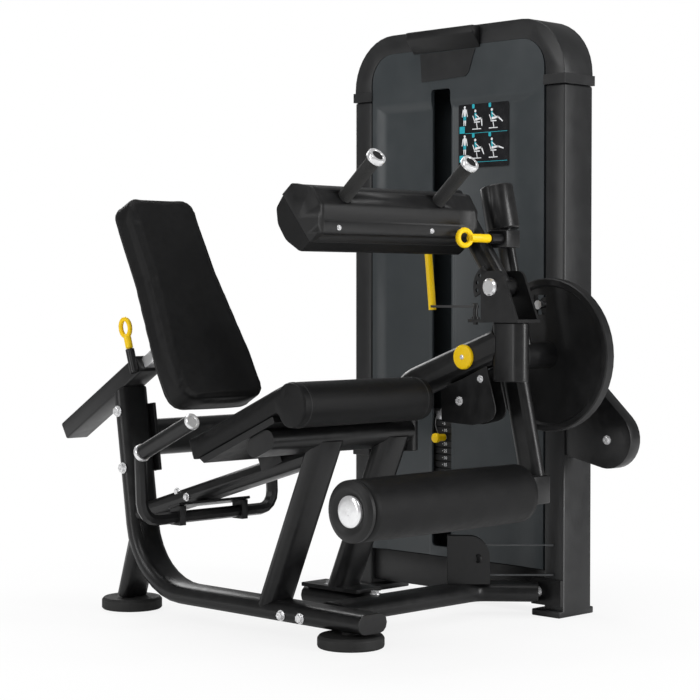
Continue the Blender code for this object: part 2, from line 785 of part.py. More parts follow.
slide_tube = along_slide("slide_tube", SLIDE_TUBE, SLIDE_TUBE_START, SLIDE_TUBE_END, bevel=0.006)
clear_bar = (SLIDE_BAR[0] + 2 * RUNNING, SLIDE_BAR[1] + 2 * RUNNING)
slide_bore = along_slide("slide_bore", clear_bar, SLIDE_TUBE_START - 0.05, SLIDE_TUBE_END - 0.012)
PULL_BORE = 0.0075
PULL_UP = Vector((0, math.sin(PULL_LEAN), math.cos(PULL_LEAN)))
pull_base = SLIDE_ORIGIN + SLIDE_OUT * (SLIDE_TUBE_START + 0.016) - SLIDE_UP * 0.020
pull_base += Vector((PULL_X, 0, 0))
pull_socket = cylinder("pull_socket", 0.012, pull_base, pull_base + PULL_UP * 0.066, 20)
pull_bore = cylinder(
    "pull_bore", PULL_BORE + RUNNING, pull_base + PULL_UP * 0.012, pull_base + PULL_UP * 0.100, 20
)
attach(cut(join(slide_tube, pull_socket), slide_bore, pull_bore), root, powder_black)

pull = holder("pull_pin_axis", tuple(pull_base), root)


def loop_handle(name, foot, axis, side, length, width, thick):
    """A looped pull handle: a neck that opens into a ring, along an axis."""
    axis, side = Vector(axis), Vector(side)
    centre = foot + axis * (length - width / 2)
    ring = [
        centre + axis * math.cos(a) * width * 0.36 * 1.25 + side * math.sin(a) * width * 0.36
        for a in (2 * math.pi * k / 16 for k in range(16))
    ]
    curve = bpy.data.curves.new(name, "CURVE")
    curve.dimensions = "3D"
    curve.bevel_depth = thick / 2
    curve.bevel_resolution = 2
    poly_spline(curve, ring, True)
    loop = solid_of(new_object(name, curve))
    neck = cylinder(name + "_neck", thick * 0.78, foot, centre - axis * width * 0.36, 16)
    return join(loop, neck)


PULL_LENGTH = 0.0835
PULL_ACROSS = Vector((0, math.cos(PULL_LEAN), -math.sin(PULL_LEAN)))
pull_foot = pull_base + PULL_UP * 0.070
pull_lever = loop_handle("pull_lever", pull_foot, PULL_UP, PULL_ACROSS, PULL_LENGTH, 0.054, 0.013)
pull_stem = cylinder("pull_stem", PULL_BORE, pull_base + PULL_UP * 0.016, pull_foot + PULL_UP * 0.02, 16)
attach(join(pull_lever, pull_stem), pull, yellow)

# ---------------------------------------------------------------- support arm and pivot post
ARM_DIRECTION = Vector((-math.cos(ARM_TILT), math.sin(ARM_TILT)))
arm_elbow = Vector((ARM_LEG_Y, ARM_ELBOW_Z))
arm_tip = arm_elbow + ARM_DIRECTION * (ARM_LEG_Y - PIVOT_POST_Y - 0.012) / math.cos(ARM_TILT)
arm_path = rounded(
    [(ARM_LEG_Y, CROSS_TUBE_CENTRE[1] - 0.045), tuple(arm_elbow), tuple(arm_tip)], 0.085, 6, cyclic=False
)
support_arm = oval_tube("support_arm", arm_path, "YZ", ARM_X, ARM_DEEP, TUBE_THICK)
post_top = PIVOT_POST_BOTTOM + PIVOT_POST[2]


def pivot_post_solid(name, grow=0.0):
    outline = stadium(
        (ARM_X, PIVOT_POST_Y), PIVOT_POST[0] + 2 * grow, PIVOT_POST[1] + 2 * grow, math.radians(90), 8
    )
    return plate(name, outline, "XY", PIVOT_POST_BOTTOM - grow, post_top + grow)


attach(cut(support_arm, pivot_post_solid("post_shadow", GAP)), root, powder_black)
attach(pivot_post_solid("pivot_post"), root, powder_black)

KNEE_AXLE_END = DISC_FRONT + DISC_THICK + CAM_WIDE + 0.016
ARM_OUTSIDE = ARM_X + TUBE_THICK / 2 + GAP
axle_profile = [
    (0.0, KNEE_AXLE_END),
    (KNEE_AXLE_RADIUS + 0.012, KNEE_AXLE_END),
    (KNEE_AXLE_RADIUS + 0.012, KNEE_AXLE_END - 0.012),
    (KNEE_AXLE_RADIUS, KNEE_AXLE_END - 0.012),
    (KNEE_AXLE_RADIUS, ARM_OUTSIDE),
    (0.0, ARM_OUTSIDE),
]
attach(turned("knee_axle", axle_profile, (0, *KNEE)), root, steel)

# ---------------------------------------------------------------- thigh pad bracket
BRACKET_BASE = post_top + GAP
FRONT_FOOT_OF_BRACKET = PIVOT_POST_Y - 0.054
BRACKET_REAR = PAD_PIVOT[0] + 0.032
bracket_outline = rounded(
    [
        (FRONT_FOOT_OF_BRACKET, BRACKET_BASE),
        (BRACKET_REAR, BRACKET_BASE),
        (BRACKET_REAR, PAD_PIVOT[1] + 0.040),
        (PAD_PIVOT[0] - 0.036, PAD_PIVOT[1] + 0.040),
    ],
    [0.004, 0.004, 0.020, 0.022],
    4,
)
near_cheek = plate("pad_bracket", bracket_outline, "YZ", BRACKET_NEAR, BRACKET_NEAR + BRACKET_SHEET)
far_cheek = plate("far_cheek", bracket_outline, "YZ", BRACKET_FAR - BRACKET_SHEET, BRACKET_FAR)
START_PIN = (BRACKET_NEAR + 0.010, BRACKET_REAR + 0.026)
bracket_floor = box(
    "bracket_floor",
    (BRACKET_FAR - BRACKET_NEAR, START_PIN[1] + 0.016 - FRONT_FOOT_OF_BRACKET, BRACKET_SHEET),
    (
        (BRACKET_FAR + BRACKET_NEAR) / 2,
        (START_PIN[1] + 0.016 + FRONT_FOOT_OF_BRACKET) / 2,
        BRACKET_BASE + BRACKET_SHEET / 2,
    ),
)
SECTOR_RADIUS = 0.058
sector_outline = [
    *arc(PAD_PIVOT, SECTOR_RADIUS, -25, 65, 8),
    *arc(PAD_PIVOT, BARREL_RADIUS + 0.002, 65, -25, 6),
]
hole_sector = plate(
    "hole_sector", sector_outline, "YZ", BRACKET_NEAR + 0.001, BRACKET_NEAR + BRACKET_SHEET - 0.001
)
sector_holes = [
    cylinder(
        f"sector_hole_{k}",
        0.0048,
        (BRACKET_NEAR - 0.01, PAD_PIVOT[0] + 0.046 * math.cos(a), PAD_PIVOT[1] + 0.046 * math.sin(a)),
        (BRACKET_NEAR + 0.02, PAD_PIVOT[0] + 0.046 * math.cos(a), PAD_PIVOT[1] + 0.046 * math.sin(a)),
        12,
    )
    for k, a in enumerate(math.radians(turn) for turn in (-10, 14, 38))
]
bolt_hole = cylinder(
    "bolt_hole",
    PAD_BOLT_RADIUS + GAP,
    (BRACKET_NEAR - 0.02, *PAD_PIVOT),
    (BRACKET_FAR + 0.02, *PAD_PIVOT),
    24,
)
pin_hole = cylinder(
    "start_pin_hole",
    0.006 + GAP,
    (*START_PIN, BRACKET_BASE - 0.02),
    (*START_PIN, BRACKET_BASE + 0.04),
    16,
)
join(near_cheek, far_cheek, bracket_floor, hole_sector)
attach(cut(near_cheek, bolt_hole, pin_hole, *sector_holes), root, powder_black)

bolt_profile = [
    (0.0, BRACKET_FAR + 0.010),
    (0.016, BRACKET_FAR + 0.010),
    (0.016, BRACKET_FAR + GAP),
    (PAD_BOLT_RADIUS, BRACKET_FAR + GAP),
    (PAD_BOLT_RADIUS, BRACKET_NEAR - GAP),
    (0.022, BRACKET_NEAR - GAP),
    (0.022, BRACKET_NEAR - 0.005),
    (0.017, BRACKET_NEAR - 0.009),
    (0.0, BRACKET_NEAR - 0.009),
]
attach(turned("pad_pivot_bolt", bolt_profile, (0, *PAD_PIVOT), 24), root, chrome)

# ---------------------------------------------------------------- start position lever
start = holder("start_lever_axis", (*START_PIN, BRACKET_BASE), root)
LINK_HEIGHT = BRACKET_BASE + 0.040
LINK_LENGTH = 0.144
start_pin = cylinder(
    "start_lever", 0.006, (*START_PIN, BRACKET_BASE - 0.006), (*START_PIN, LINK_HEIGHT + 0.008), 16
)
link_end = START_PIN[1] + LINK_LENGTH
start_link = plate(
    "start_link",
    stadium((START_PIN[0], START_PIN[1] + LINK_LENGTH / 2), LINK_LENGTH + 0.018, 0.018, math.radians(90), 6),
    "XY",
    LINK_HEIGHT - 0.004,
    LINK_HEIGHT + 0.002,
)
start_collar = cylinder(
    "start_collar",
    0.010,
    (*START_PIN, BRACKET_BASE + BRACKET_SHEET + GAP),
    (*START_PIN, BRACKET_BASE + BRACKET_SHEET + 0.006),
    16,
)
start_handle = cylinder(
    "start_handle",
    0.0095,
    (START_PIN[0], link_end, LINK_HEIGHT - 0.010),
    (START_PIN[0], link_end + 0.016, LINK_HEIGHT + 0.150),
    16,
)
attach(join(start_pin, start_link, start_collar, start_handle), start, yellow)

# ---------------------------------------------------------------- thigh pad on its arm
arm_vector = (Vector(THIGH_ARM_END) - Vector(PAD_PIVOT)).normalized()
thigh_arm = oval_tube(
    "thigh_arm", [PAD_PIVOT, THIGH_ARM_END], "YZ", THIGH_ARM_X, 0.058, 0.045
)
BARREL_LOW = BRACKET_NEAR + BRACKET_SHEET + RUNNING
BARREL_HIGH = BRACKET_FAR - BRACKET_SHEET - RUNNING
barrel = cylinder("barrel", BARREL_RADIUS, (BARREL_LOW, *PAD_PIVOT), (BARREL_HIGH, *PAD_PIVOT), 24)
barrel_bore = cylinder(
    "barrel_bore",
    PAD_BOLT_RADIUS + RUNNING,
    (BARREL_LOW - 0.02, *PAD_PIVOT),
    (BARREL_HIGH + 0.02, *PAD_PIVOT),
    24,
)
pad_boss_at = Vector(PAD_PIVOT) + arm_vector * ((Vector(THIGH_ARM_END) - Vector(PAD_PIVOT)).length - 0.035)
pad_boss = cylinder(
    "pad_boss", 0.022, (THIGH_RIGHT + GAP, *pad_boss_at), (THIGH_ARM_X, *pad_boss_at), 20
)
block_low = THIGH_ARM_X + 0.014
pin_block = box(
    "pin_block",
    PIN_BLOCK,
    (block_low + PIN_BLOCK[0] / 2, POP_PIN[0] + 0.010, POP_PIN[1]),
    bevel=0.003,
)
pin_sleeve = cylinder(
    "pin_sleeve", 0.0125, (block_low - 0.042, *POP_PIN), (block_low + 0.004, *POP_PIN), 20
)
pin_bore = cylinder(
    "pin_bore", POP_PIN_RADIUS + RUNNING, (block_low - 0.06, *POP_PIN), (block_low + 0.075, *POP_PIN), 16
)
join(thigh_arm, barrel, pad_boss, pin_block, pin_sleeve)
attach(cut(thigh_arm, barrel_bore, pin_bore), thigh, powder_black)

pop_foot = Vector((block_low - 0.0455, *POP_PIN))
pop_handle = loop_handle("pop_pin", pop_foot, (-1, 0, 0), (0, 0, 1), 0.114, 0.052, 0.0135)
pop_rod = cylinder(
    "pop_rod", POP_PIN_RADIUS, (block_low - 0.075, *POP_PIN), (block_low + 0.050, *POP_PIN), 16
)
attach(join(pop_handle, pop_rod), pop, yellow)

SPLIT_HIGH = (-0.337, 1.090)
SPLIT_LOW = (-0.428, 0.980)
shell_outline = [SPLIT_LOW, (-0.453, 1.001), (-0.456, 1.063), (-0.429, 1.104), (-0.368, 1.114), SPLIT_HIGH]
foam_outline = [SPLIT_HIGH, (-0.313, 1.060), (-0.318, 1.022), (-0.345, 0.984), (-0.396, 0.955), SPLIT_LOW]
split_out = (Vector(SPLIT_LOW) - Vector(SPLIT_HIGH)).normalized()
split_gap = Vector((-split_out.y, split_out.x)) * GAP
foam_outline = [tuple(Vector(p) + split_gap * (1 if k in (0, 5) else 0)) for k, p in enumerate(foam_outline)]
shell_corners = rounded(shell_outline, [0, 0.008, 0.012, 0.012, 0.010, 0], 2)
thigh_shell = plate("thigh_shell", shell_corners, "YZ", THIGH_LEFT, THIGH_RIGHT)
thigh_foam = plate(
    "thigh_foam", rounded(foam_outline, [0, 0.014, 0.03, 0.04, 0.014, 0], 2), "YZ", THIGH_LEFT, THIGH_RIGHT
)
attach(thigh_foam, thigh, upholstery)

handle_axis = Vector((0, -math.cos(math.radians(40.5)), math.sin(math.radians(40.5))))
facet_middle = (Vector((-0.429, 1.104)) + Vector((-0.456, 1.063))) / 2
for side, x in zip(("right", "left"), HANDLE_X):
    foot = Vector((x, facet_middle.x, facet_middle.y))
    socket = cylinder(
        f"{side}_socket", HANDLE_RADIUS + GAP, foot - handle_axis * 0.010, foot + handle_axis * 0.20, 24
    )
    cut(thigh_shell, socket)
    grip = cylinder(
        f"{side}_pad_handle",
        HANDLE_RADIUS,
        foot - handle_axis * (0.010 - GAP),
        foot + handle_axis * HANDLE_LENGTH,
        24,
    )
    attach(grip, thigh, rubber)
attach(thigh_shell, thigh, plastic)

# ---------------------------------------------------------------- lever, counterweight and disc
LEVER_DOWN = Vector((-math.sin(LEVER_LEAN), -math.cos(LEVER_LEAN)))
lever_end = Vector(KNEE) + LEVER_DOWN * LEVER_LENGTH
lever_arm = oval_tube("lever_arm", [KNEE, tuple(lever_end)], "YZ", LEVER_X, LEVER_DEEP, LEVER_WIDE - 0.002)
HUB_START = LEVER_X - LEVER_WIDE / 2
HUB_SPLIT = LEVER_X + LEVER_WIDE / 2
lever_hub = cylinder("lever_hub", LEVER_DEEP / 2 + 0.010, (HUB_START, *KNEE), (HUB_SPLIT, *KNEE), 32)


def axle_bore(name, low, high):
    return cylinder(name, KNEE_AXLE_RADIUS + RUNNING, (low - 0.02, *KNEE), (high + 0.02, *KNEE), 32)


BRACKET_LOW = LEVER_X - 0.066
BRACKET_HIGH = LEVER_X + 0.014
bracket_top = lever_end.y + 0.012
bracket_drop = bracket_top - (ROLLER[1] - 0.030)
roller_bracket = box(
    "roller_bracket",
    (BRACKET_HIGH - BRACKET_LOW, 0.056, bracket_drop),
    ((BRACKET_LOW + BRACKET_HIGH) / 2, ROLLER[0], bracket_top - bracket_drop / 2),
    bevel=0.004,
)
join(lever_arm, roller_bracket)
attach(cut(join(lever_arm, lever_hub), axle_bore("lever_bore", HUB_START, HUB_SPLIT)), knee, powder_black)

HUB_END = DISC_FRONT + 0.010
hub = cylinder("counterweight_arm", HUB_RADIUS, (HUB_SPLIT + GAP, *KNEE), (HUB_END, *KNEE), 32)
weight_foot = Vector(KNEE) - LEVER_DOWN * (COUNTERWEIGHT_REACH - COUNTERWEIGHT_LENGTH / 2 - GAP)
upper_arm = oval_tube(
    "upper_arm", [KNEE, tuple(weight_foot)], "YZ", UPPER_ARM_X, 0.050, 0.030
)
attach(cut(join(hub, upper_arm), axle_bore("hub_bore", HUB_SPLIT, HUB_END)), knee, powder_black)

weight_base = Vector(KNEE) - LEVER_DOWN * (COUNTERWEIGHT_REACH - COUNTERWEIGHT_LENGTH / 2)
weight_low = Vector((UPPER_ARM_X, *weight_base))
weight_high = weight_low + Vector((0, *(-LEVER_DOWN))) * COUNTERWEIGHT_LENGTH
counterweight = cylinder("counterweight", COUNTERWEIGHT_RADIUS, weight_low, weight_high, 36)
attach(bevelled(counterweight, 0.003), knee, powder_black)

disc_back = DISC_FRONT + DISC_THICK
DISC_WELL = 0.012
disc_profile = [
    (HUB_RADIUS + GAP, disc_back),
    (DISC_RADIUS - 0.002, disc_back),
    (DISC_RADIUS, disc_back - 0.002),
    (DISC_RADIUS, DISC_FRONT + 0.003),
    (DISC_RADIUS - 0.003, DISC_FRONT),
    (DISC_RADIUS - DISC_RIM, DISC_FRONT),
    (DISC_RADIUS - DISC_RIM - 0.006, DISC_FRONT + DISC_WELL),
    (HUB_RADIUS + 0.030, DISC_FRONT + DISC_WELL),
    (HUB_RADIUS + GAP, DISC_FRONT + DISC_WELL * 0.4),
    (HUB_RADIUS + GAP, disc_back),
]
cam_disc = turned("cam_disc", disc_profile, (0, *KNEE), 48)
WINDOW = (0.029, 0.128)
WINDOW_SIZE = (0.040, 0.050)
window_cut = box(
    "window_cut",
    (DISC_THICK * 3, *WINDOW_SIZE),
    (DISC_FRONT + DISC_THICK / 2, KNEE[0] + WINDOW[0], KNEE[1] + WINDOW[1]),
)
attach(cut(cam_disc, window_cut), knee, plastic)

cam_start = disc_back + GAP
cam_end = cam_start + CAM_WIDE
cam_profile = [
    (KNEE_AXLE_RADIUS + RUNNING, cam_end),
    (CAM_RADIUS, cam_end),
    (CAM_RADIUS, cam_end - 0.006),
    (CAM_RADIUS - 0.010, cam_end - 0.010),
    (CAM_RADIUS - 0.010, cam_start + 0.010),
    (CAM_RADIUS, cam_start + 0.006),
    (CAM_RADIUS, cam_start),
    (HUB_RADIUS, cam_start),
    (KNEE_AXLE_RADIUS + RUNNING, cam_start),
    (KNEE_AXLE_RADIUS + RUNNING, cam_end),
]
cable_cam = turned("cable_cam", cam_profile, (0, *KNEE), 40)
PLUNGER_RADIUS = 0.007
plunger_at = (KNEE[0] + WINDOW[0], KNEE[1] + WINDOW[1])
plunger_arm = plate(
    "plunger_arm",
    stadium(
        (KNEE[0] + WINDOW[0] * 0.85, KNEE[1] + WINDOW[1] * 0.85),
        0.080,
        0.030,
        math.atan2(WINDOW[1], WINDOW[0]),
        6,
    ),
    "YZ",
    cam_start + 0.001,
    cam_end - 0.001,
)
plunger_bore = cylinder(
    "plunger_bore",
    PLUNGER_RADIUS + RUNNING,
    (cam_start - 0.02, *plunger_at),
    (cam_end + 0.02, *plunger_at),
    20,
)
attach(cut(join(cable_cam, plunger_arm), plunger_bore), knee, powder_black)

plunger_axis = holder("plunger_axis", (DISC_FRONT, *plunger_at), knee)
plunger_low = DISC_FRONT + 0.006
plunger = cylinder(
    "range_plunger", PLUNGER_RADIUS, (plunger_low, *plunger_at), (cam_end + 0.006, *plunger_at), 20
)
plunger_tip = cylinder(
    "plunger_tip", 0.012, (plunger_low - 0.004, *plunger_at), (plunger_low + 0.006, *plunger_at), 20
)
attach(join(plunger, plunger_tip), plunger_axis, steel)

# ---------------------------------------------------------------- leg roller
shaft_low = ROLLER_LEFT + 0.010
shaft_profile = [
    (0.0, BRACKET_LOW - GAP),
    (ROLLER_SHAFT_RADIUS + 0.008, BRACKET_LOW - GAP),
    (ROLLER_SHAFT_RADIUS + 0.008, ROLLER_RIGHT + RUNNING),
    (ROLLER_SHAFT_RADIUS, ROLLER_RIGHT + RUNNING),
    (ROLLER_SHAFT_RADIUS, shaft_low),
    (0.0, shaft_low),
]
attach(turned("roller_shaft", shaft_profile, (0, *ROLLER), 24), knee, steel)
foam_bore = ROLLER_SHAFT_RADIUS + RUNNING
foam_profile = [
    (foam_bore, ROLLER_RIGHT),
    (ROLLER_RADIUS - 0.020, ROLLER_RIGHT),
    (ROLLER_RADIUS - 0.006, ROLLER_RIGHT - 0.006),
    (ROLLER_RADIUS, ROLLER_RIGHT - 0.020),
    (ROLLER_RADIUS, ROLLER_LEFT + 0.004),
    (ROLLER_RADIUS - 0.003, ROLLER_LEFT),
    (foam_bore, ROLLER_LEFT),
    (foam_bore, ROLLER_RIGHT),
]
attach(turned("roller_foam", foam_profile, (0, *ROLLER), 36), roller_axis, upholstery)
cap_out = ROLLER_LEFT - 0.018
cap_profile = [
    (0.0, ROLLER_LEFT - GAP),
    (ROLLER_RADIUS - 0.001, ROLLER_LEFT - GAP),
    (ROLLER_RADIUS - 0.003, ROLLER_LEFT - 0.008),
    (0.032, cap_out),
    (0.0, cap_out),
]
attach(turned("roller_cap", cap_profile, (0, *ROLLER), 36), roller_axis, plastic)

# ---------------------------------------------------------------- pulleys and their guards
PULLEY_BOLT = 0.006
GROOVE_DEPTH = 0.008


def pulley_profile(radius, low, high, bore):
    middle = (low + high) / 2
    return [
        (bore, high),
        (radius, high),
        (radius, high - 0.003),
        (radius - GROOVE_DEPTH, middle + CABLE_RADIUS + 0.0005),
        (radius - GROOVE_DEPTH, middle - CABLE_RADIUS - 0.0005),
        (radius, low + 0.003),
        (radius, low),
        (bore, low),
        (bore, high),
    ]


UNDER_NEAR = ARM_X - TUBE_THICK / 2
under_outline = rounded(
    [
        (UNDER_PULLEY[0] + 0.075, UNDER_PULLEY[1] + 0.020),
        (UNDER_PULLEY[0] + 0.075, UNDER_PULLEY[1] - 0.060),
        (UNDER_PULLEY[0] - 0.030, UNDER_PULLEY[1] - 0.064),
        (UNDER_PULLEY[0] - 0.112, UNDER_PULLEY[1] - 0.045),
        (UNDER_PULLEY[0] - 0.075, UNDER_PULLEY[1] + 0.085),
    ],
    [0.004, 0.006, 0.030, 0.030, 0.004],
    4,
)
guard_high = ARM_X + TUBE_THICK / 2 - 0.006
under_guard = plate("under_guard", under_outline, "YZ", UNDER_NEAR, UNDER_NEAR + GUARD_SHEET)
far_guard = plate("under_guard_far", under_outline, "YZ", guard_high - GUARD_SHEET, guard_high)
under_spacer = cylinder(
    "under_spacer", PULLEY_BOLT, (UNDER_NEAR, *UNDER_PULLEY), (guard_high, *UNDER_PULLEY), 16
)
arm_shadow = oval_tube("arm_shadow", arm_path, "YZ", ARM_X, ARM_DEEP + 2 * GAP, TUBE_THICK + 2 * GAP)
guard_web = box(
    "guard_web",
    (guard_high - UNDER_NEAR, 0.100, 0.006),
    ((UNDER_NEAR + guard_high) / 2, UNDER_PULLEY[0] + 0.010, UNDER_PULLEY[1] + 0.0455),
    (-ARM_TILT, 0, 0),
)
join(under_guard, far_guard, under_spacer, guard_web)
attach(cut(under_guard, arm_shadow, pivot_post_solid("guard_post_shadow", GAP)), root, powder_black)
under_axis = holder("under_pulley_axis", (ARM_X, *UNDER_PULLEY), root)
pulley_mid = (UNDER_NEAR + guard_high) / 2
under_pulley = turned(
    "under_pulley",
    pulley_profile(
        UNDER_PULLEY_RADIUS, pulley_mid - PULLEY_WIDE / 2, pulley_mid + PULLEY_WIDE / 2, PULLEY_BOLT + RUNNING
    ),
    (0, *UNDER_PULLEY),
    28,
)
attach(under_pulley, under_axis, plastic)

guard_turn = math.radians(-45)
guard_place = Vector((FLOOR_GUARD[0], FLOOR_GUARD[1], RAIL_TOP + GAP))
FLOOR_PULLEY_LIFT = 0.062
floor_axis = holder("floor_pulley_axis", tuple(guard_place + Vector((0, 0, FLOOR_PULLEY_LIFT))), root)
half_guard = FLOOR_GUARD_SIZE[0] / 2
floor_outline = [
    (-half_guard, 0.0),
    (half_guard, 0.0),
    *arc((half_guard - 0.055, FLOOR_GUARD_SIZE[1] - 0.055), 0.055, 0, 90, 8),
    (-half_guard, FLOOR_GUARD_SIZE[1]),
]
FLOOR_GUARD_WIDE = 0.034


def diagonal(name, outline, low, high):
    """A plate that stands across the machine at half a right angle, on the cross rail."""
    obj = plate(name, outline, "XZ", low, high)
    turn = Matrix.Rotation(guard_turn, 4, "Z")
    obj.location = guard_place + turn @ Vector(obj.location)
    obj.rotation_euler = (math.radians(90), 0, guard_turn)
    return obj


half_wide = FLOOR_GUARD_WIDE / 2
floor_guard = diagonal("floor_guard", floor_outline, half_wide - GUARD_SHEET, half_wide)
floor_back = diagonal("floor_guard_back", floor_outline, -half_wide, -half_wide + GUARD_SHEET)
floor_base = diagonal(
    "floor_guard_base",
    [(x * (half_guard - 0.001), z) for x, z in ((-1, 0.001), (1, 0.001), (1, 0.006), (-1, 0.006))],
    0.001 - half_wide,
    half_wide - 0.001,
)
floor_bolt = diagonal(
    "floor_guard_bolt",
    arc((0, FLOOR_PULLEY_LIFT), PULLEY_BOLT, 0, 345, 15),
    0.001 - half_wide,
    half_wide - 0.001,
)
attach(join(floor_guard, floor_back, floor_base, floor_bolt), root, powder_black)
floor_pulley = turned(
    "floor_pulley",
    pulley_profile(FLOOR_PULLEY_RADIUS, -PULLEY_WIDE / 2, PULLEY_WIDE / 2, PULLEY_BOLT + RUNNING),
    tuple(guard_place + Vector((0, 0, FLOOR_PULLEY_LIFT))),
    28,
)
floor_pulley.rotation_euler = (math.radians(90), 0, guard_turn)
attach(floor_pulley, floor_axis, plastic)



def groove_line(radius):
    """Radius of a cable's centre line in a pulley's groove."""
    return radius - GROOVE_DEPTH + CABLE_RADIUS + GAP


floor_line = groove_line(FLOOR_PULLEY_RADIUS)
floor_run = (TOWER_FRONT - 0.003 - FLOOR_GUARD[0]) / math.cos(guard_turn)
flat_route = [(floor_run, floor_line), *arc((0, 0), floor_line, 90, 270, 14), (floor_run, -floor_line)]
floor_route = [
    guard_place + Vector((u * math.cos(guard_turn), u * math.sin(guard_turn), w + FLOOR_PULLEY_LIFT))
    for u, w in flat_route
]
attach(round_tube("floor_cable", floor_route, CABLE_RADIUS), root, cable_coat)

OUT_LOW = TOWER_FRONT + 0.006
OUT_HIGH = OUT_LOW + OUTRIGGER_WIDE
COLUMN_SIDE = -TOWER_WIDTH / 2 - GAP


def teardrop(shrink):
    """The outrigger guard's outline: a round nose with straight sides back to the column."""
    nose = arc(OUTRIGGER, OUTRIGGER_RADIUS - shrink, 132.5, 281, 14)
    side = COLUMN_SIDE - shrink
    low_edge = (side, OUTRIGGER[1] - 0.050 + shrink)
    high_edge = (side, OUTRIGGER[1] + 0.230 - shrink * 1.4)
    return [low_edge, high_edge, *nose]


outrigger_guard = plate("outrigger_guard", teardrop(0.0), "YZ", OUT_LOW, OUT_HIGH, bevel=0.004)
hollow = plate("outrigger_hollow", teardrop(GUARD_SHEET), "YZ", OUT_LOW + GUARD_SHEET, OUT_HIGH + 0.02)
out_boss = cylinder("outrigger_boss", PULLEY_BOLT, (OUT_LOW + 0.001, *OUTRIGGER), (OUT_HIGH, *OUTRIGGER), 16)
attach(join(cut(outrigger_guard, hollow), out_boss), root, powder_black)
out_axis = holder("outrigger_pulley_axis", (OUT_LOW, *OUTRIGGER), root)
out_mid = (OUT_LOW + OUT_HIGH) / 2
outrigger_pulley = turned(
    "outrigger_pulley",
    pulley_profile(
        OUTRIGGER_PULLEY_RADIUS, out_mid - PULLEY_WIDE / 2, out_mid + PULLEY_WIDE / 2, PULLEY_BOLT + RUNNING
    ),
    (0, *OUTRIGGER),
    28,
)
attach(outrigger_pulley, out_axis, plastic)

# ---------------------------------------------------------------- tower
column_middle = TOWER_FRONT + COLUMN_DEPTH / 2
column_top = COLLAR_BOTTOM
for name, side in (("front_column", -1), ("rear_column", 1)):
    y = side * (TOWER_WIDTH / 2 - COLUMN_WIDTH / 2)
    column = box(
        name,
        (COLUMN_DEPTH, COLUMN_WIDTH, column_top - FOOT_PLATE[2] / 2),
        (column_middle, y, (column_top + FOOT_PLATE[2] / 2) / 2),
        bevel=0.006,
    )
    foot_plate = box(
        name + "_foot",
        FOOT_PLATE,
        (FOOT_PLATE_START + FOOT_PLATE[0] / 2, side * (TOWER_WIDTH - FOOT_PLATE[1]) / 2, FOOT_PLATE[2] / 2),
        bevel=0.003,
    )
    attach(join(column, foot_plate), root, column_grey)


def arch_outline(low, proud=0.0):
    """The tower's head from the front, down to a height: round shoulders over two legs."""
    half = TOWER_WIDTH / 2 + proud
    top = TOWER_HEIGHT
    inner = TOWER_WIDTH / 2 - COLUMN_WIDTH - proud
    inner_radius = ARCH_RADIUS - COLUMN_WIDTH
    inner_top = top - ARCH_BEAM
    return [
        (half, low),
        *arc((half - ARCH_RADIUS, top - ARCH_RADIUS), ARCH_RADIUS, 0, 90, 10),
        *arc((-half + ARCH_RADIUS, top - ARCH_RADIUS), ARCH_RADIUS, 90, 180, 10),
        (-half, low),
        (-inner, low),
        *arc((-inner + inner_radius, inner_top - inner_radius), inner_radius, 180, 90, 8),
        *arc((inner - inner_radius, inner_top - inner_radius), inner_radius, 90, 0, 8),
        (inner, low),
    ]


head = plate(
    "top_arch", arch_outline(COLLAR_BOTTOM + GAP), "YZ", TOWER_FRONT, TOWER_FRONT + COLUMN_DEPTH, bevel=0.006
)
for side in (-1, 1):
    collar = box(
        f"collar_{side}",
        (COLUMN_DEPTH + 2 * COLLAR_PROUD, COLUMN_WIDTH + 2 * COLLAR_PROUD, COLLAR_TOP - COLLAR_BOTTOM - GAP),
        (
            column_middle,
            side * (TOWER_WIDTH / 2 - COLUMN_WIDTH / 2),
            (COLLAR_TOP + COLLAR_BOTTOM + GAP) / 2,
        ),
    )
    join(head, collar)

inner_half = TOWER_WIDTH / 2 - COLUMN_WIDTH - COLLAR_PROUD - GAP
BAR_TOP = PANEL_BOTTOM - 0.004
bottom_bar = box(
    "bottom_bar",
    (COLUMN_DEPTH - 0.020, 2 * (TOWER_WIDTH / 2 - COLUMN_WIDTH - GAP), BAR_TOP - 0.030),
    (column_middle + 0.004, 0, (BAR_TOP + 0.030) / 2),
    bevel=0.003,
)
attach(bottom_bar, root, powder_black)

PANEL_TOP = TOWER_HEIGHT - ARCH_BEAM - GAP
panel_front = TOWER_FRONT + 0.004
panel_radius = ARCH_RADIUS - COLUMN_WIDTH - COLLAR_PROUD - GAP


def panel_outline():
    low = BAR_TOP + GAP
    corners = [(inner_half, low), (inner_half, PANEL_TOP), (-inner_half, PANEL_TOP), (-inner_half, low)]
    return rounded(corners, [0.0, panel_radius, panel_radius, 0.0], 8)


def window_slot(name):
    corners = [
        (SLOT_CENTRE + SLOT_WIDTH / 2, SLOT_BOTTOM),
        (SLOT_CENTRE + SLOT_WIDTH / 2, SLOT_TOP),
        (SLOT_CENTRE - SLOT_WIDTH / 2, SLOT_TOP),
        (SLOT_CENTRE - SLOT_WIDTH / 2, SLOT_BOTTOM),
    ]
    return plate(name, rounded(corners, 0.010, 3), "YZ", panel_front - 0.02, panel_front + 0.04)


WELL_DEPTH = 0.005
front_panel = plate("front_panel", panel_outline(), "YZ", panel_front, panel_front + PANEL_SHEET)
well = box(
    "panel_well",
    (0.04, 0.540, 1.162),
    (panel_front + WELL_DEPTH - 0.02, 0.062, 0.827),
)
attach(cut(front_panel, well, window_slot("panel_slot")), root, panel_slate)

back_start = TOWER_FRONT + COLUMN_DEPTH - 0.006
back_panel = plate("back_panel", panel_outline(), "YZ", back_start, back_start + 0.004)
attach(back_panel, root, panel_slate)

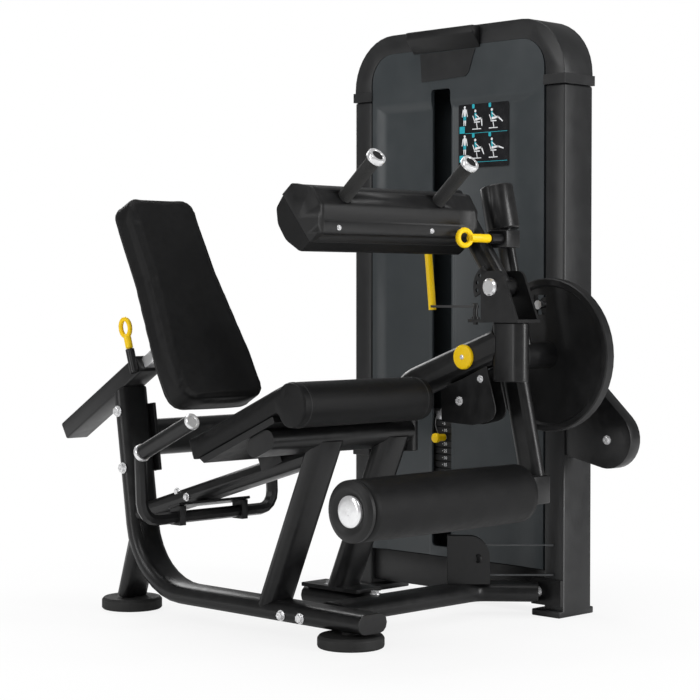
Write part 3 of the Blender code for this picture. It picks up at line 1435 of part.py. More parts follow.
VISOR = (0.034, 0.250, 0.064)
visor_centre = 0.031
visor = plate(
    "visor",
    [
        (TOWER_FRONT - GAP, TOWER_HEIGHT - 0.004),
        (TOWER_FRONT - VISOR[0], TOWER_HEIGHT - 0.004),
        (TOWER_FRONT - VISOR[0], TOWER_HEIGHT - 0.024),
        (TOWER_FRONT - GAP, TOWER_HEIGHT - VISOR[2]),
    ],
    "XZ",
    -visor_centre - VISOR[1] / 2,
    -visor_centre + VISOR[1] / 2,
    bevel=0.003,
)
attach(visor, root, plastic)

PLACARD = (0.0025, 0.180, 0.183)
placard = box(
    "placard", PLACARD, (panel_front + WELL_DEPTH - GAP - PLACARD[0] / 2, -0.099, 1.3015), bevel=0.0008
)
attach(placard, root, placard_black)

# ---------------------------------------------------------------- weight stack
stack_x = panel_front + PANEL_SHEET + 0.006 + STACK_DEPTH / 2
stack = holder("stack_axis", (stack_x, SLOT_CENTRE, STACK_BOTTOM), root)
arch_under = TOWER_HEIGHT - ARCH_BEAM
GUIDE_TOP = 1.400

for name, side in (("front_guide_rod", -1), ("rear_guide_rod", 1)):
    y = SLOT_CENTRE + side * GUIDE_SPREAD
    rod = cylinder(name, GUIDE_RADIUS, (stack_x, y, BAR_TOP + GAP), (stack_x, y, GUIDE_TOP), 20)
    attach(rod, root, chrome)


def plate_pile(name, low, count, thick=PLATE_THICK):
    """A pile of weight plates on a common core, each a pitch above the last."""
    core = box(
        name,
        (STACK_DEPTH - 0.012, STACK_WIDTH - 0.012, (count - 1) * PLATE_PITCH + thick),
        (stack_x, SLOT_CENTRE, low + ((count - 1) * PLATE_PITCH + thick) / 2),
    )
    for k in range(count):
        slab = box(
            f"{name}_{k}",
            (STACK_DEPTH, STACK_WIDTH, thick - 0.002),
            (stack_x, SLOT_CENTRE, low + k * PLATE_PITCH + thick / 2),
        )
        join(core, slab)
    return core


def rod_hole(name, offset, radius, low, high):
    """A vertical hole through the stack, at a distance from its centre along Y."""
    y = SLOT_CENTRE + offset
    return cylinder(name, radius, (stack_x, y, low - 0.02), (stack_x, y, high + 0.02), 20)


def guide_holes(name, low, high):
    return [
        rod_hole(f"{name}_guide_{side}", side * GUIDE_SPREAD, GUIDE_RADIUS + 0.001, low, high)
        for side in (-1, 1)
    ]


resting_top = STACK_BOTTOM + (RESTING_PLATES - 1) * PLATE_PITCH + PLATE_THICK
resting = plate_pile("resting_plates", STACK_BOTTOM, RESTING_PLATES)
buffer_pads = [
    box(
        f"buffer_{side}",
        (0.050, 0.050, STACK_BOTTOM - BAR_TOP - GAP + 0.002),
        (stack_x, SLOT_CENTRE + side * GUIDE_SPREAD, (STACK_BOTTOM + BAR_TOP + GAP + 0.002) / 2),
    )
    for side in (-1, 1)
]
join(resting, *buffer_pads)
cut(resting, *guide_holes("resting", BAR_TOP, resting_top))
cut(resting, rod_hole("resting_centre", 0.0, ROD_RADIUS + 0.001, BAR_TOP, resting_top))
attach(resting, root, plate_iron)

lifted_low = resting_top + GAP
lifted_top = lifted_low + (LIFTED_PLATES - 1) * PLATE_PITCH + PLATE_THICK
lifted = plate_pile("lifted_plates", lifted_low, LIFTED_PLATES)
cut(lifted, *guide_holes("lifted", lifted_low, lifted_top))
cut(lifted, rod_hole("lifted_centre", 0.0, ROD_RADIUS + GAP, lifted_low, lifted_top))
PIN_RADIUS = 0.0045
pin_height = lifted_low + PLATE_THICK / 2
PIN_REACH = stack_x - 0.004
pin_socket = cylinder(
    "pin_socket",
    PIN_RADIUS + GAP,
    (stack_x - STACK_DEPTH, SLOT_CENTRE, pin_height),
    (PIN_REACH + 0.001, SLOT_CENTRE, pin_height),
    16,
)
attach(cut(lifted, pin_socket), stack, plate_iron)

rod_low = STACK_BOTTOM + 0.020
head_top = lifted_top + GAP + TOP_PLATE
selector_rod = cylinder(
    "selector_rod", ROD_RADIUS, (stack_x, SLOT_CENTRE, rod_low), (stack_x, SLOT_CENTRE, head_top + 0.050), 20
)
top_plate = box(
    "top_plate",
    (STACK_DEPTH, STACK_WIDTH, TOP_PLATE),
    (stack_x, SLOT_CENTRE, lifted_top + GAP + TOP_PLATE / 2),
    bevel=0.003,
)
cable_bore = cylinder(
    "cable_bore",
    ROD_BORE,
    (stack_x, SLOT_CENTRE, head_top - 0.330),
    (stack_x, SLOT_CENTRE, head_top + 0.10),
    16,
)
rod_pin_hole = cylinder(
    "rod_pin_hole",
    PIN_RADIUS + GAP,
    (stack_x - STACK_DEPTH, SLOT_CENTRE, pin_height),
    (PIN_REACH + 0.001, SLOT_CENTRE, pin_height),
    16,
)
cut(join(selector_rod, top_plate), *guide_holes("top", lifted_top, head_top), cable_bore, rod_pin_hole)
attach(selector_rod, stack, steel)

pin_axis = holder("selector_pin_axis", (TOWER_FRONT, SLOT_CENTRE, pin_height), stack)
PIN_HEAD = (TOWER_FRONT - 0.024, panel_front + PANEL_SHEET + 0.002)
pin_profile = [
    (0.0, PIN_REACH),
    (PIN_RADIUS, PIN_REACH),
    (PIN_RADIUS, PIN_HEAD[1]),
    (0.010, PIN_HEAD[1]),
    (0.010, PIN_HEAD[0] + 0.016),
    (0.0135, PIN_HEAD[0] + 0.012),
    (0.0135, PIN_HEAD[0] + 0.002),
    (0.011, PIN_HEAD[0]),
    (0.0, PIN_HEAD[0]),
]
attach(turned("selector_pin", pin_profile, (0, SLOT_CENTRE, pin_height), 20), pin_axis, yellow)

top_line = groove_line(TOP_PULLEY_RADIUS)
TOP_PULLEY_Z = 1.478
SIDE_PULLEY_Y = -0.200
hangers = []
for name, y in (("top_pulley", SLOT_CENTRE - top_line), ("side_pulley", SIDE_PULLEY_Y)):
    axis = holder(name + "_axis", (stack_x, y, TOP_PULLEY_Z), root)
    profile = pulley_profile(
        TOP_PULLEY_RADIUS, stack_x - PULLEY_WIDE / 2, stack_x + PULLEY_WIDE / 2, PULLEY_BOLT + RUNNING
    )
    attach(turned(name, profile, (0, y, TOP_PULLEY_Z), 28), axis, plastic)
    bolt_ends = [(stack_x + side * 0.024, y, TOP_PULLEY_Z) for side in (-1, 1)]
    hangers.append(cylinder(name + "_bolt", PULLEY_BOLT, *bolt_ends, 16))
    ear_top = arch_under + 0.004
    ear_low = TOP_PULLEY_Z - 0.018
    for side in (-1, 1):
        ear_centre = (stack_x + side * 0.020, y, (ear_top + ear_low) / 2)
        hangers.append(box(f"{name}_ear_{side}", (0.005, 0.040, ear_top - ear_low), ear_centre))
attach(join(head, *hangers[1:3], hangers[0], *hangers[4:6], hangers[3]), root, column_grey)

stack_route = [
    (stack_x, SLOT_CENTRE, head_top - 0.310),
    *[(stack_x, *point) for point in arc((SLOT_CENTRE - top_line, TOP_PULLEY_Z), top_line, 0, 90, 8)],
    *[(stack_x, *point) for point in arc((SIDE_PULLEY_Y, TOP_PULLEY_Z), top_line, 90, 180, 8)],
    (stack_x, SIDE_PULLEY_Y - top_line, BAR_TOP + GAP),
]
attach(round_tube("stack_cable", stack_route, CABLE_RADIUS), root, cable_coat)

# ---------------------------------------------------------------- origin at the middle of the footprint
bpy.context.view_layer.update()
graph = bpy.context.evaluated_depsgraph_get()
corners = [
    piece.evaluated_get(graph).matrix_world @ vertex.co
    for piece in machine.objects
    if piece.type == "MESH"
    for vertex in piece.evaluated_get(graph).data.vertices
]
lowest = [min(corner[k] for corner in corners) for k in range(3)]
highest = [max(corner[k] for corner in corners) for k in range(3)]
root.location = (-(lowest[0] + highest[0]) / 2, -(lowest[1] + highest[1]) / 2, -lowest[2])
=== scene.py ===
"""Looks of a seated leg extension and leg curl machine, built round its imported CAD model."""

import json
import math

import bmesh
import bpy
from mathutils import Matrix, Vector
from mathutils.bvhtree import BVHTree

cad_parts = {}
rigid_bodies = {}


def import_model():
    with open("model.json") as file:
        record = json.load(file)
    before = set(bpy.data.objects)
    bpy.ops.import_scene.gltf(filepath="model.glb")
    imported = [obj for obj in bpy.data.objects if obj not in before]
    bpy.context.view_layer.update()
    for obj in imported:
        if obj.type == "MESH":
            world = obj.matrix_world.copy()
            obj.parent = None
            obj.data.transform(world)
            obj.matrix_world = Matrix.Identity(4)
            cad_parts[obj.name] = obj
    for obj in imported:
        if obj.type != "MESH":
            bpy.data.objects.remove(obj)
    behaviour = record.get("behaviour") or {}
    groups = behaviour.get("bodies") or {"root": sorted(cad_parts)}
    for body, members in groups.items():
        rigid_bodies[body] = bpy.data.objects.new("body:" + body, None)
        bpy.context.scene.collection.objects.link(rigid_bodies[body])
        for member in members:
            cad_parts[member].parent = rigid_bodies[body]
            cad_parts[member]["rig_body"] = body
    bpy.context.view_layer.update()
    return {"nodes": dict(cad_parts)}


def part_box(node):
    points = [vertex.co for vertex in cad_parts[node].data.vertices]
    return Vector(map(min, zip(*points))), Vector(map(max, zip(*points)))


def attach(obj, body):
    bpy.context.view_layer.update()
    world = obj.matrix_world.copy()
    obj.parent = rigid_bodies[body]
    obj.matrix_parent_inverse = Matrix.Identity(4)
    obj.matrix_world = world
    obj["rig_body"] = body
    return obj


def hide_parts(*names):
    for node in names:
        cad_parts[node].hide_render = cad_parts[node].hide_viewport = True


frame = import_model()

# ---------------------------------------------------------------- room, lamps and camera
# A pale floor that runs back to the horizon and a white room. Large soft lamps light the machine
# from the front left, from above and from behind, so that dark tubes show long soft highlights.
foot_low, foot_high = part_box("front_foot")
seat_line = Vector(((foot_low.x + foot_high.x) / 2, (foot_low.y + foot_high.y) / 2 + 0.290, 0.0))


def at(x, y, z):
    """A place measured from the seat's centre plane, the tower's centre and the floor."""
    return seat_line + Vector((x, y, z))


floor_mesh = bpy.data.meshes.new("floor")
floor_mesh.from_pydata([(-60, -60, 0), (60, -60, 0), (60, 60, 0), (-60, 60, 0)], [], [(0, 1, 2, 3)])
floor = bpy.data.objects.new("floor", floor_mesh)
bpy.context.scene.collection.objects.link(floor)
floor_finish = bpy.data.materials.new("pale_floor")
floor_finish.use_nodes = True
tree = floor_finish.node_tree
tree.nodes.clear()
floor_paint = tree.nodes.new("ShaderNodeBsdfDiffuse")
floor_paint.inputs["Color"].default_value = (0.93, 0.93, 0.93, 1)
floor_glow = tree.nodes.new("ShaderNodeEmission")
floor_glow.inputs["Color"].default_value = (1, 1, 1, 1)
floor_ray = tree.nodes.new("ShaderNodeLightPath")
floor_place = tree.nodes.new("ShaderNodeTexCoord")
floor_far = tree.nodes.new("ShaderNodeVectorMath")
floor_far.operation = "LENGTH"
floor_fade = tree.nodes.new("ShaderNodeMapRange")
floor_fade.inputs["From Min"].default_value = 0.8
floor_fade.inputs["From Max"].default_value = 1.5
floor_fade.inputs["To Min"].default_value = 0.84
floor_share = tree.nodes.new("ShaderNodeMath")
floor_share.operation = "MULTIPLY"
floor_mix = tree.nodes.new("ShaderNodeMixShader")
floor_out = tree.nodes.new("ShaderNodeOutputMaterial")
tree.links.new(floor_place.outputs["Object"], floor_far.inputs[0])
tree.links.new(floor_far.outputs["Value"], floor_fade.inputs["Value"])
tree.links.new(floor_ray.outputs["Is Camera Ray"], floor_share.inputs[0])
tree.links.new(floor_fade.outputs[0], floor_share.inputs[1])
tree.links.new(floor_share.outputs[0], floor_mix.inputs["Fac"])
tree.links.new(floor_paint.outputs[0], floor_mix.inputs[1])
tree.links.new(floor_glow.outputs[0], floor_mix.inputs[2])
tree.links.new(floor_mix.outputs[0], floor_out.inputs["Surface"])
floor.data.materials.append(floor_finish)

room = bpy.data.worlds.new("white_room")
bpy.context.scene.world = room
room.use_nodes = True
tree = room.node_tree
tree.nodes.clear()
room_light = tree.nodes.new("ShaderNodeBackground")
room_light.inputs["Color"].default_value = (1, 1, 1, 1)
room_light.inputs["Strength"].default_value = 0.20
room_seen = tree.nodes.new("ShaderNodeBackground")
room_seen.inputs["Color"].default_value = (1, 1, 1, 1)
room_seen.inputs["Strength"].default_value = 1.0
room_ray = tree.nodes.new("ShaderNodeLightPath")
room_gloss = tree.nodes.new("ShaderNodeMapRange")
room_gloss.inputs["To Min"].default_value = 0.50
room_gloss.inputs["To Max"].default_value = 0.20
room_mix = tree.nodes.new("ShaderNodeMixShader")
room_out = tree.nodes.new("ShaderNodeOutputWorld")
tree.links.new(room_ray.outputs["Is Glossy Ray"], room_gloss.inputs["Value"])
tree.links.new(room_gloss.outputs[0], room_light.inputs["Strength"])
tree.links.new(room_ray.outputs["Is Camera Ray"], room_mix.inputs["Fac"])
tree.links.new(room_light.outputs[0], room_mix.inputs[1])
tree.links.new(room_seen.outputs[0], room_mix.inputs[2])
tree.links.new(room_mix.outputs[0], room_out.inputs["Surface"])

for name, place, width, height, watts in (
    ("key_lamp", (-2.8, -1.8, 3.0), 1.6, 1.6, 24),
    ("right_strip", (1.8, -4.5, 1.8), 0.9, 3.2, 120),
    ("left_strip", (-4.2, 1.2, 1.8), 0.6, 3.2, 50),
    ("top_lamp", (0.2, 0.2, 3.9), 1.8, 2.4, 36),
    ("back_lamp", (1.6, 3.4, 2.4), 2.0, 2.0, 40),
):
    lamp_data = bpy.data.lights.new(name, "AREA")
    lamp_data.shape = "RECTANGLE"
    lamp_data.size = width
    lamp_data.size_y = height
    lamp_data.energy = watts
    lamp = bpy.data.objects.new(name, lamp_data)
    lamp.location = at(*place)
    aim = at(0.25, 0.0, 0.75) - lamp.location
    lamp.rotation_euler = aim.to_track_quat("-Z", "Y").to_euler()
    bpy.context.scene.collection.objects.link(lamp)

camera_data = bpy.data.cameras.new("camera")
camera_data.lens = 100
camera_data.sensor_width = 36
camera_data.clip_end = 200
camera = bpy.data.objects.new("camera", camera_data)
camera.location = at(-3.337, -3.624, 0.858)
pitch = math.radians(1.62)
camera_aim = Vector((math.cos(pitch) / math.sqrt(2), math.cos(pitch) / math.sqrt(2), -math.sin(pitch)))
camera.rotation_euler = camera_aim.to_track_quat("-Z", "Y").to_euler()
bpy.context.scene.collection.objects.link(camera)
bpy.context.scene.camera = camera
bpy.context.scene.view_settings.view_transform = "Standard"

# ---------------------------------------------------------------- welded frame
# Oval steel tube, bent and welded, then powder coated in satin black with a fine orange peel.
# It stands on the floor rails and carries the seat, the post, the slide tube and the support arm.


def new_group(name, inputs, outputs):
    """An empty shader node group with named float or colour inputs and outputs."""
    group = bpy.data.node_groups.new(name, "ShaderNodeTree")
    for label, kind, value in inputs:
        socket = group.interface.new_socket(label, in_out="INPUT", socket_type=kind)
        socket.default_value = value
    for label, kind in outputs:
        group.interface.new_socket(label, in_out="OUTPUT", socket_type=kind)
    return group, group.nodes.new("NodeGroupInput"), group.nodes.new("NodeGroupOutput")


def math_node(tree, operation, first, second):
    """A Math node whose two inputs are sockets or numbers."""
    node = tree.nodes.new("ShaderNodeMath")
    node.operation = operation
    for socket, value in zip(node.inputs, (first, second)):
        if isinstance(value, (int, float)):
            socket.default_value = value
        else:
            tree.links.new(value, socket)
    return node.outputs[0]


# Slow change over a surface: cloudy handling marks and a light haze of dust, as one 0 to 1 mask.
haze, haze_in, haze_out = new_group(
    "handling_haze",
    [("Vector", "NodeSocketVector", (0, 0, 0)), ("Size", "NodeSocketFloat", 6.0),
        ("Amount", "NodeSocketFloat", 0.5)],
    [("Mask", "NodeSocketFloat")],
)
broad = haze.nodes.new("ShaderNodeTexNoise")
broad.inputs["Detail"].default_value = 6.0
broad.inputs["Roughness"].default_value = 0.62
haze.links.new(haze_in.outputs["Vector"], broad.inputs["Vector"])
haze.links.new(haze_in.outputs["Size"], broad.inputs["Scale"])
fine = haze.nodes.new("ShaderNodeTexNoise")
fine.inputs["Detail"].default_value = 3.0
haze.links.new(haze_in.outputs["Vector"], fine.inputs["Vector"])
haze.links.new(math_node(haze, "MULTIPLY", haze_in.outputs["Size"], 9.0), fine.inputs["Scale"])
both = math_node(haze, "MULTIPLY", broad.outputs["Fac"], fine.outputs["Fac"])
spread = haze.nodes.new("ShaderNodeMapRange")
spread.inputs["From Min"].default_value = 0.16
spread.inputs["From Max"].default_value = 0.42
haze.links.new(both, spread.inputs["Value"])
haze.links.new(math_node(haze, "MULTIPLY", spread.outputs[0], haze_in.outputs["Amount"]),
    haze_out.inputs["Mask"])

# Fine scratches and scuffs: stretched noise in two directions, sharpened to thin lines.
scuffs, scuffs_in, scuffs_out = new_group(
    "fine_scuffs",
    [("Vector", "NodeSocketVector", (0, 0, 0)), ("Amount", "NodeSocketFloat", 0.5)],
    [("Mask", "NodeSocketFloat")],
)
lines = []
for stretch in ((220.0, 9.0, 60.0), (12.0, 190.0, 75.0)):
    shear = scuffs.nodes.new("ShaderNodeMapping")
    shear.inputs["Scale"].default_value = stretch
    shear.inputs["Rotation"].default_value = (0.4, 0.3, stretch[0] * 0.01)
    scuffs.links.new(scuffs_in.outputs["Vector"], shear.inputs["Vector"])
    streak = scuffs.nodes.new("ShaderNodeTexNoise")
    streak.inputs["Scale"].default_value = 1.0
    streak.inputs["Detail"].default_value = 2.0
    scuffs.links.new(shear.outputs[0], streak.inputs["Vector"])
    thin = scuffs.nodes.new("ShaderNodeMapRange")
    thin.inputs["From Min"].default_value = 0.66
    thin.inputs["From Max"].default_value = 0.78
    scuffs.links.new(streak.outputs["Fac"], thin.inputs["Value"])
    lines.append(thin.outputs[0])
worst = math_node(scuffs, "MAXIMUM", lines[0], lines[1])
scuffs.links.new(math_node(scuffs, "MULTIPLY", worst, scuffs_in.outputs["Amount"]), scuffs_out.inputs["Mask"])

# Grain in relief: soft cells broken by noise, for powder coat, moulded plastic and upholstery. A second output marks
# the grooves between the cells, where painted shade is laid.
grain, grain_in, grain_out = new_group(
    "relief_grain",
    [("Vector", "NodeSocketVector", (0, 0, 0)), ("Size", "NodeSocketFloat", 600.0),
        ("Cells", "NodeSocketFloat", 0.5)],
    [("Height", "NodeSocketFloat"), ("Crease", "NodeSocketFloat")],
)
wander = grain.nodes.new("ShaderNodeTexNoise")
wander.inputs["Detail"].default_value = 4.0
grain.links.new(grain_in.outputs["Vector"], wander.inputs["Vector"])
grain.links.new(grain_in.outputs["Size"], wander.inputs["Scale"])
cell = grain.nodes.new("ShaderNodeTexVoronoi")
cell.feature = "SMOOTH_F1"
cell.inputs["Smoothness"].default_value = 0.35
grain.links.new(grain_in.outputs["Vector"], cell.inputs["Vector"])
grain.links.new(grain_in.outputs["Size"], cell.inputs["Scale"])
blend_cells = grain.nodes.new("ShaderNodeMix")
grain.links.new(grain_in.outputs["Cells"], blend_cells.inputs["Factor"])
grain.links.new(wander.outputs["Fac"], blend_cells.inputs[2])
grain.links.new(math_node(grain, "SUBTRACT", 1.0, cell.outputs["Distance"]), blend_cells.inputs[3])
grain.links.new(blend_cells.outputs[0], grain_out.inputs["Height"])
crease_shade_mask = grain.nodes.new("ShaderNodeMapRange")
crease_shade_mask.inputs["From Min"].default_value = 0.45
crease_shade_mask.inputs["From Max"].default_value = 0.75
grain.links.new(cell.outputs["Distance"], crease_shade_mask.inputs["Value"])
grain.links.new(crease_shade_mask.outputs[0], grain_out.inputs["Crease"])


def coated(name, dark, pale, rough, rough_more, size, cells, relief, metal=0.0, haze_size=5.0, scuff=0.25,
    coat=0.0, shine=0.5):
    """A Principled finish whose colour, gloss and relief change over the surface, with painted shade darkening the
    grain's grooves.
    """
    material = bpy.data.materials.new(name)
    material.use_nodes = True
    tree = material.node_tree
    shader = tree.nodes["Principled BSDF"]
    shader.inputs["Metallic"].default_value = metal
    shader.inputs["Coat Weight"].default_value = coat
    shader.inputs["Specular IOR Level"].default_value = shine
    shader.inputs["Coat Roughness"].default_value = 0.18
    place = tree.nodes.new("ShaderNodeTexCoord")
    cloud = tree.nodes.new("ShaderNodeGroup")
    cloud.node_tree = haze
    cloud.inputs["Size"].default_value = haze_size
    cloud.inputs["Amount"].default_value = 1.0
    tree.links.new(place.outputs["Object"], cloud.inputs["Vector"])
    marks = tree.nodes.new("ShaderNodeGroup")
    marks.node_tree = scuffs
    marks.inputs["Amount"].default_value = scuff
    tree.links.new(place.outputs["Object"], marks.inputs["Vector"])
    skin = tree.nodes.new("ShaderNodeGroup")
    skin.node_tree = grain
    skin.inputs["Size"].default_value = size
    skin.inputs["Cells"].default_value = cells
    tree.links.new(place.outputs["Object"], skin.inputs["Vector"])
    tint = tree.nodes.new("ShaderNodeMix")
    tint.data_type = "RGBA"
    tint.inputs[6].default_value = (*dark, 1)
    tint.inputs[7].default_value = (*pale, 1)
    shade = math_node(tree, "MAXIMUM", cloud.outputs["Mask"], marks.outputs["Mask"])
    tree.links.new(shade, tint.inputs["Factor"])
    # Painted shade: the base colour darkens to 45 percent in the grain's grooves, where shade would fall.
    deep = tree.nodes.new("ShaderNodeMix")
    deep.data_type = "RGBA"
    deep.inputs[7].default_value = (*[channel * 0.45 for channel in dark], 1)
    tree.links.new(tint.outputs[2], deep.inputs[6])
    tree.links.new(math_node(tree, "MULTIPLY", skin.outputs["Crease"], cells * 0.8), deep.inputs["Factor"])
    tree.links.new(deep.outputs[2], shader.inputs["Base Color"])
    worn = math_node(tree, "MULTIPLY", cloud.outputs["Mask"], rough_more)
    scored = math_node(tree, "MULTIPLY", marks.outputs["Mask"], 0.15)
    total = math_node(tree, "ADD", math_node(tree, "ADD", worn, rough), scored)
    tree.links.new(total, shader.inputs["Roughness"])
    bump = tree.nodes.new("ShaderNodeBump")
    bump.inputs["Strength"].default_value = 1.0
    bump.inputs["Distance"].default_value = relief
    tree.links.new(skin.outputs["Height"], bump.inputs["Height"])
    tree.links.new(bump.outputs["Normal"], shader.inputs["Normal"])
    return material


powder_coat = coated(
    "satin_powder_coat", (0.0062, 0.0062, 0.0066), (0.0115, 0.0115, 0.012), 0.30, 0.10, 900, 0.3, 0.00006,
        scuff=0.12, shine=0.4
)


def bare_metal(name, colour, rough, brush, relief):
    """Bare metal with fine brushing along one direction and faint finger marks."""
    material = bpy.data.materials.new(name)
    material.use_nodes = True
    tree = material.node_tree
    shader = tree.nodes["Principled BSDF"]
    shader.inputs["Metallic"].default_value = 1.0
    place = tree.nodes.new("ShaderNodeTexCoord")
    lay = tree.nodes.new("ShaderNodeMapping")
    lay.inputs["Scale"].default_value = brush
    tree.links.new(place.outputs["Object"], lay.inputs["Vector"])
    hair = tree.nodes.new("ShaderNodeTexNoise")
    hair.inputs["Scale"].default_value = 1.0
    hair.inputs["Detail"].default_value = 5.0
    tree.links.new(lay.outputs[0], hair.inputs["Vector"])
    cloud = tree.nodes.new("ShaderNodeGroup")
    cloud.node_tree = haze
    cloud.inputs["Size"].default_value = 14.0
    cloud.inputs["Amount"].default_value = 1.0
    tree.links.new(place.outputs["Object"], cloud.inputs["Vector"])
    tint = tree.nodes.new("ShaderNodeMix")
    tint.data_type = "RGBA"
    tint.inputs[6].default_value = (*colour, 1)
    tint.inputs[7].default_value = (*[channel * 0.82 for channel in colour], 1)
    tree.links.new(cloud.outputs["Mask"], tint.inputs["Factor"])
    tree.links.new(tint.outputs[2], shader.inputs["Base Color"])
    streaks = math_node(tree, "MULTIPLY", hair.outputs["Fac"], rough * 0.8)
    marks = math_node(tree, "MULTIPLY", cloud.outputs["Mask"], 0.08)
    tree.links.new(math_node(tree, "ADD", math_node(tree, "ADD", streaks, marks), rough * 0.6),
        shader.inputs["Roughness"])
    bump = tree.nodes.new("ShaderNodeBump")
    bump.inputs["Distance"].default_value = relief
    bump.inputs["Strength"].default_value = 1.0
    tree.links.new(hair.outputs["Fac"], bump.inputs["Height"])
    tree.links.new(bump.outputs["Normal"], shader.inputs["Normal"])
    return material


chrome = bare_metal("polished_chrome", (0.90, 0.90, 0.91), 0.16, (40, 40, 40), 0.000004)
# Some diffuse light stands in for the bright room that the polish would mirror.
chrome.node_tree.nodes["Principled BSDF"].inputs["Metallic"].default_value = 0.60
turned_steel = bare_metal("turned_steel", (0.56, 0.56, 0.57), 0.30, (900, 60, 60), 0.00001)


def carried(node, name, finish, soft=0.0012, steps=2, angle=38, body=None):
    """A CAD node's shape with welded points, clean flats and eased edges, in its place."""
    source = frame["nodes"][node]
    shape = bmesh.new()
    shape.from_mesh(source.data)
    bmesh.ops.remove_doubles(shape, verts=shape.verts, dist=0.00002)
    bmesh.ops.dissolve_limit(shape, angle_limit=math.radians(0.6), verts=shape.verts, edges=shape.edges)
    mesh = bpy.data.meshes.new(name)
    shape.to_mesh(mesh)
    shape.free()
    piece = bpy.data.objects.new(name, mesh)
    bpy.context.scene.collection.objects.link(piece)
    for polygon in mesh.polygons:
        polygon.use_smooth = True
    mesh.set_sharp_from_angle(angle=math.radians(angle))
    if soft:
        ease = piece.modifiers.new("eased edges", "BEVEL")
        ease.width = soft
        ease.segments = steps
        ease.limit_method = "ANGLE"
        ease.angle_limit = math.radians(angle)
        ease.harden_normals = True
        ease.use_clamp_overlap = True
    mesh.materials.append(finish)
    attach(piece, body or source["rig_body"])
    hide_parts(node)
    return piece


for node in (
    "main_rail",
    "cross_rail",
    "seat_strut",
    "arm_strut",
    "seat_rail",
    "rear_brace",
    "slide_tube",
    "bottom_bar",
):
    carried(node, "welded_" + node, powder_coat, soft=0.002)

# ---------------------------------------------------------------- bolts of the fixed frame
# Zinc-chromed hexagon bolts over stamped washers join the bolted flanges and clamps. One row of
# points holds a bolt at each place, and each is turned by chance about its own line.


def seated(nodes, place, facing):
    """Where a line along facing through a place meets these CAD nodes, seen from outside."""
    best = None
    for node in nodes:
        shape = bmesh.new()
        shape.from_mesh(frame["nodes"][node].data)
        hit = BVHTree.FromBMesh(shape).ray_cast(place + facing * 0.06, -facing, 0.16)
        shape.free()
        if hit[0] is not None and (best is None or hit[3] < best[1]):
            best = (hit[0], hit[3])
    return best[0] if best else None


def lathed(name, finish, line, start, axis, steps=32, sharp=40):
    """A turned piece: (distance along the axis, radius) pairs spun round a line."""
    axis = axis.normalized()
    side = axis.orthogonal().normalized()
    other = axis.cross(side)
    shape = bmesh.new()
    rings = []
    for along, radius in line:
        centre = start + axis * along
        if radius < 0.00005:
            rings.append([shape.verts.new(centre)])
            continue
        rings.append(
            [
                shape.verts.new(
                    centre
                    + (side * math.cos(2 * math.pi * i / steps) + other * math.sin(2 * math.pi * i / steps)) * radius
                )
                for i in range(steps)
            ]
        )
    for low, high in zip(rings, rings[1:]):
        for i in range(steps):
            j = (i + 1) % steps
            if len(low) == 1 and len(high) > 1:
                shape.faces.new((low[0], high[i], high[j]))
            elif len(high) == 1 and len(low) > 1:
                shape.faces.new((low[i], high[0], low[j]))
            elif len(low) > 1:
                shape.faces.new((low[i], high[i], high[j], low[j]))
    bmesh.ops.recalc_face_normals(shape, faces=shape.faces)
    mesh = bpy.data.meshes.new(name)
    shape.to_mesh(mesh)
    shape.free()
    for polygon in mesh.polygons:
        polygon.use_smooth = True
    mesh.set_sharp_from_angle(angle=math.radians(sharp))
    mesh.materials.append(finish)
    piece = bpy.data.objects.new(name, mesh)
    bpy.context.scene.collection.objects.link(piece)
    return piece


# The row group: one stored piece on each point, turned as the point says and spun by chance.
rows = bpy.data.node_groups.new("pieces_on_points", "GeometryNodeTree")
rows.interface.new_socket("Geometry", in_out="INPUT", socket_type="NodeSocketGeometry")
rows.interface.new_socket("Piece", in_out="INPUT", socket_type="NodeSocketObject")
rows.interface.new_socket("Spin", in_out="INPUT", socket_type="NodeSocketFloat")
rows.interface.new_socket("Seed", in_out="INPUT", socket_type="NodeSocketInt")
rows.interface.new_socket("Finish", in_out="INPUT", socket_type="NodeSocketMaterial")
rows.interface.new_socket("Geometry", in_out="OUTPUT", socket_type="NodeSocketGeometry")
rows_in = rows.nodes.new("NodeGroupInput")
rows_out = rows.nodes.new("NodeGroupOutput")
stored = rows.nodes.new("GeometryNodeObjectInfo")
turn = rows.nodes.new("GeometryNodeInputNamedAttribute")
turn.data_type = "FLOAT_VECTOR"
turn.inputs["Name"].default_value = "turn"
grow = rows.nodes.new("GeometryNodeInputNamedAttribute")
grow.data_type = "FLOAT"
grow.inputs["Name"].default_value = "size"
to_turn = rows.nodes.new("FunctionNodeEulerToRotation")
chance = rows.nodes.new("FunctionNodeRandomValue")
chance.data_type = "FLOAT"
spin_vector = rows.nodes.new("ShaderNodeCombineXYZ")
spin_turn = rows.nodes.new("FunctionNodeEulerToRotation")
spun = rows.nodes.new("FunctionNodeRotateRotation")
spun.rotation_space = "LOCAL"
placed = rows.nodes.new("GeometryNodeInstanceOnPoints")
made = rows.nodes.new("GeometryNodeRealizeInstances")
painted = rows.nodes.new("GeometryNodeSetMaterial")
rows.links.new(rows_in.outputs["Piece"], stored.inputs["Object"])
rows.links.new(turn.outputs["Attribute"], to_turn.inputs[0])
rows.links.new(rows_in.outputs["Spin"], chance.inputs[3])
rows.links.new(rows_in.outputs["Seed"], chance.inputs["Seed"])
rows.links.new(chance.outputs[1], spin_vector.inputs["Z"])
rows.links.new(spin_vector.outputs[0], spin_turn.inputs[0])
rows.links.new(to_turn.outputs[0], spun.inputs["Rotation"])
rows.links.new(spin_turn.outputs[0], spun.inputs["Rotate By"])
rows.links.new(rows_in.outputs["Geometry"], placed.inputs["Points"])
rows.links.new(stored.outputs["Geometry"], placed.inputs["Instance"])
rows.links.new(spun.outputs[0], placed.inputs["Rotation"])
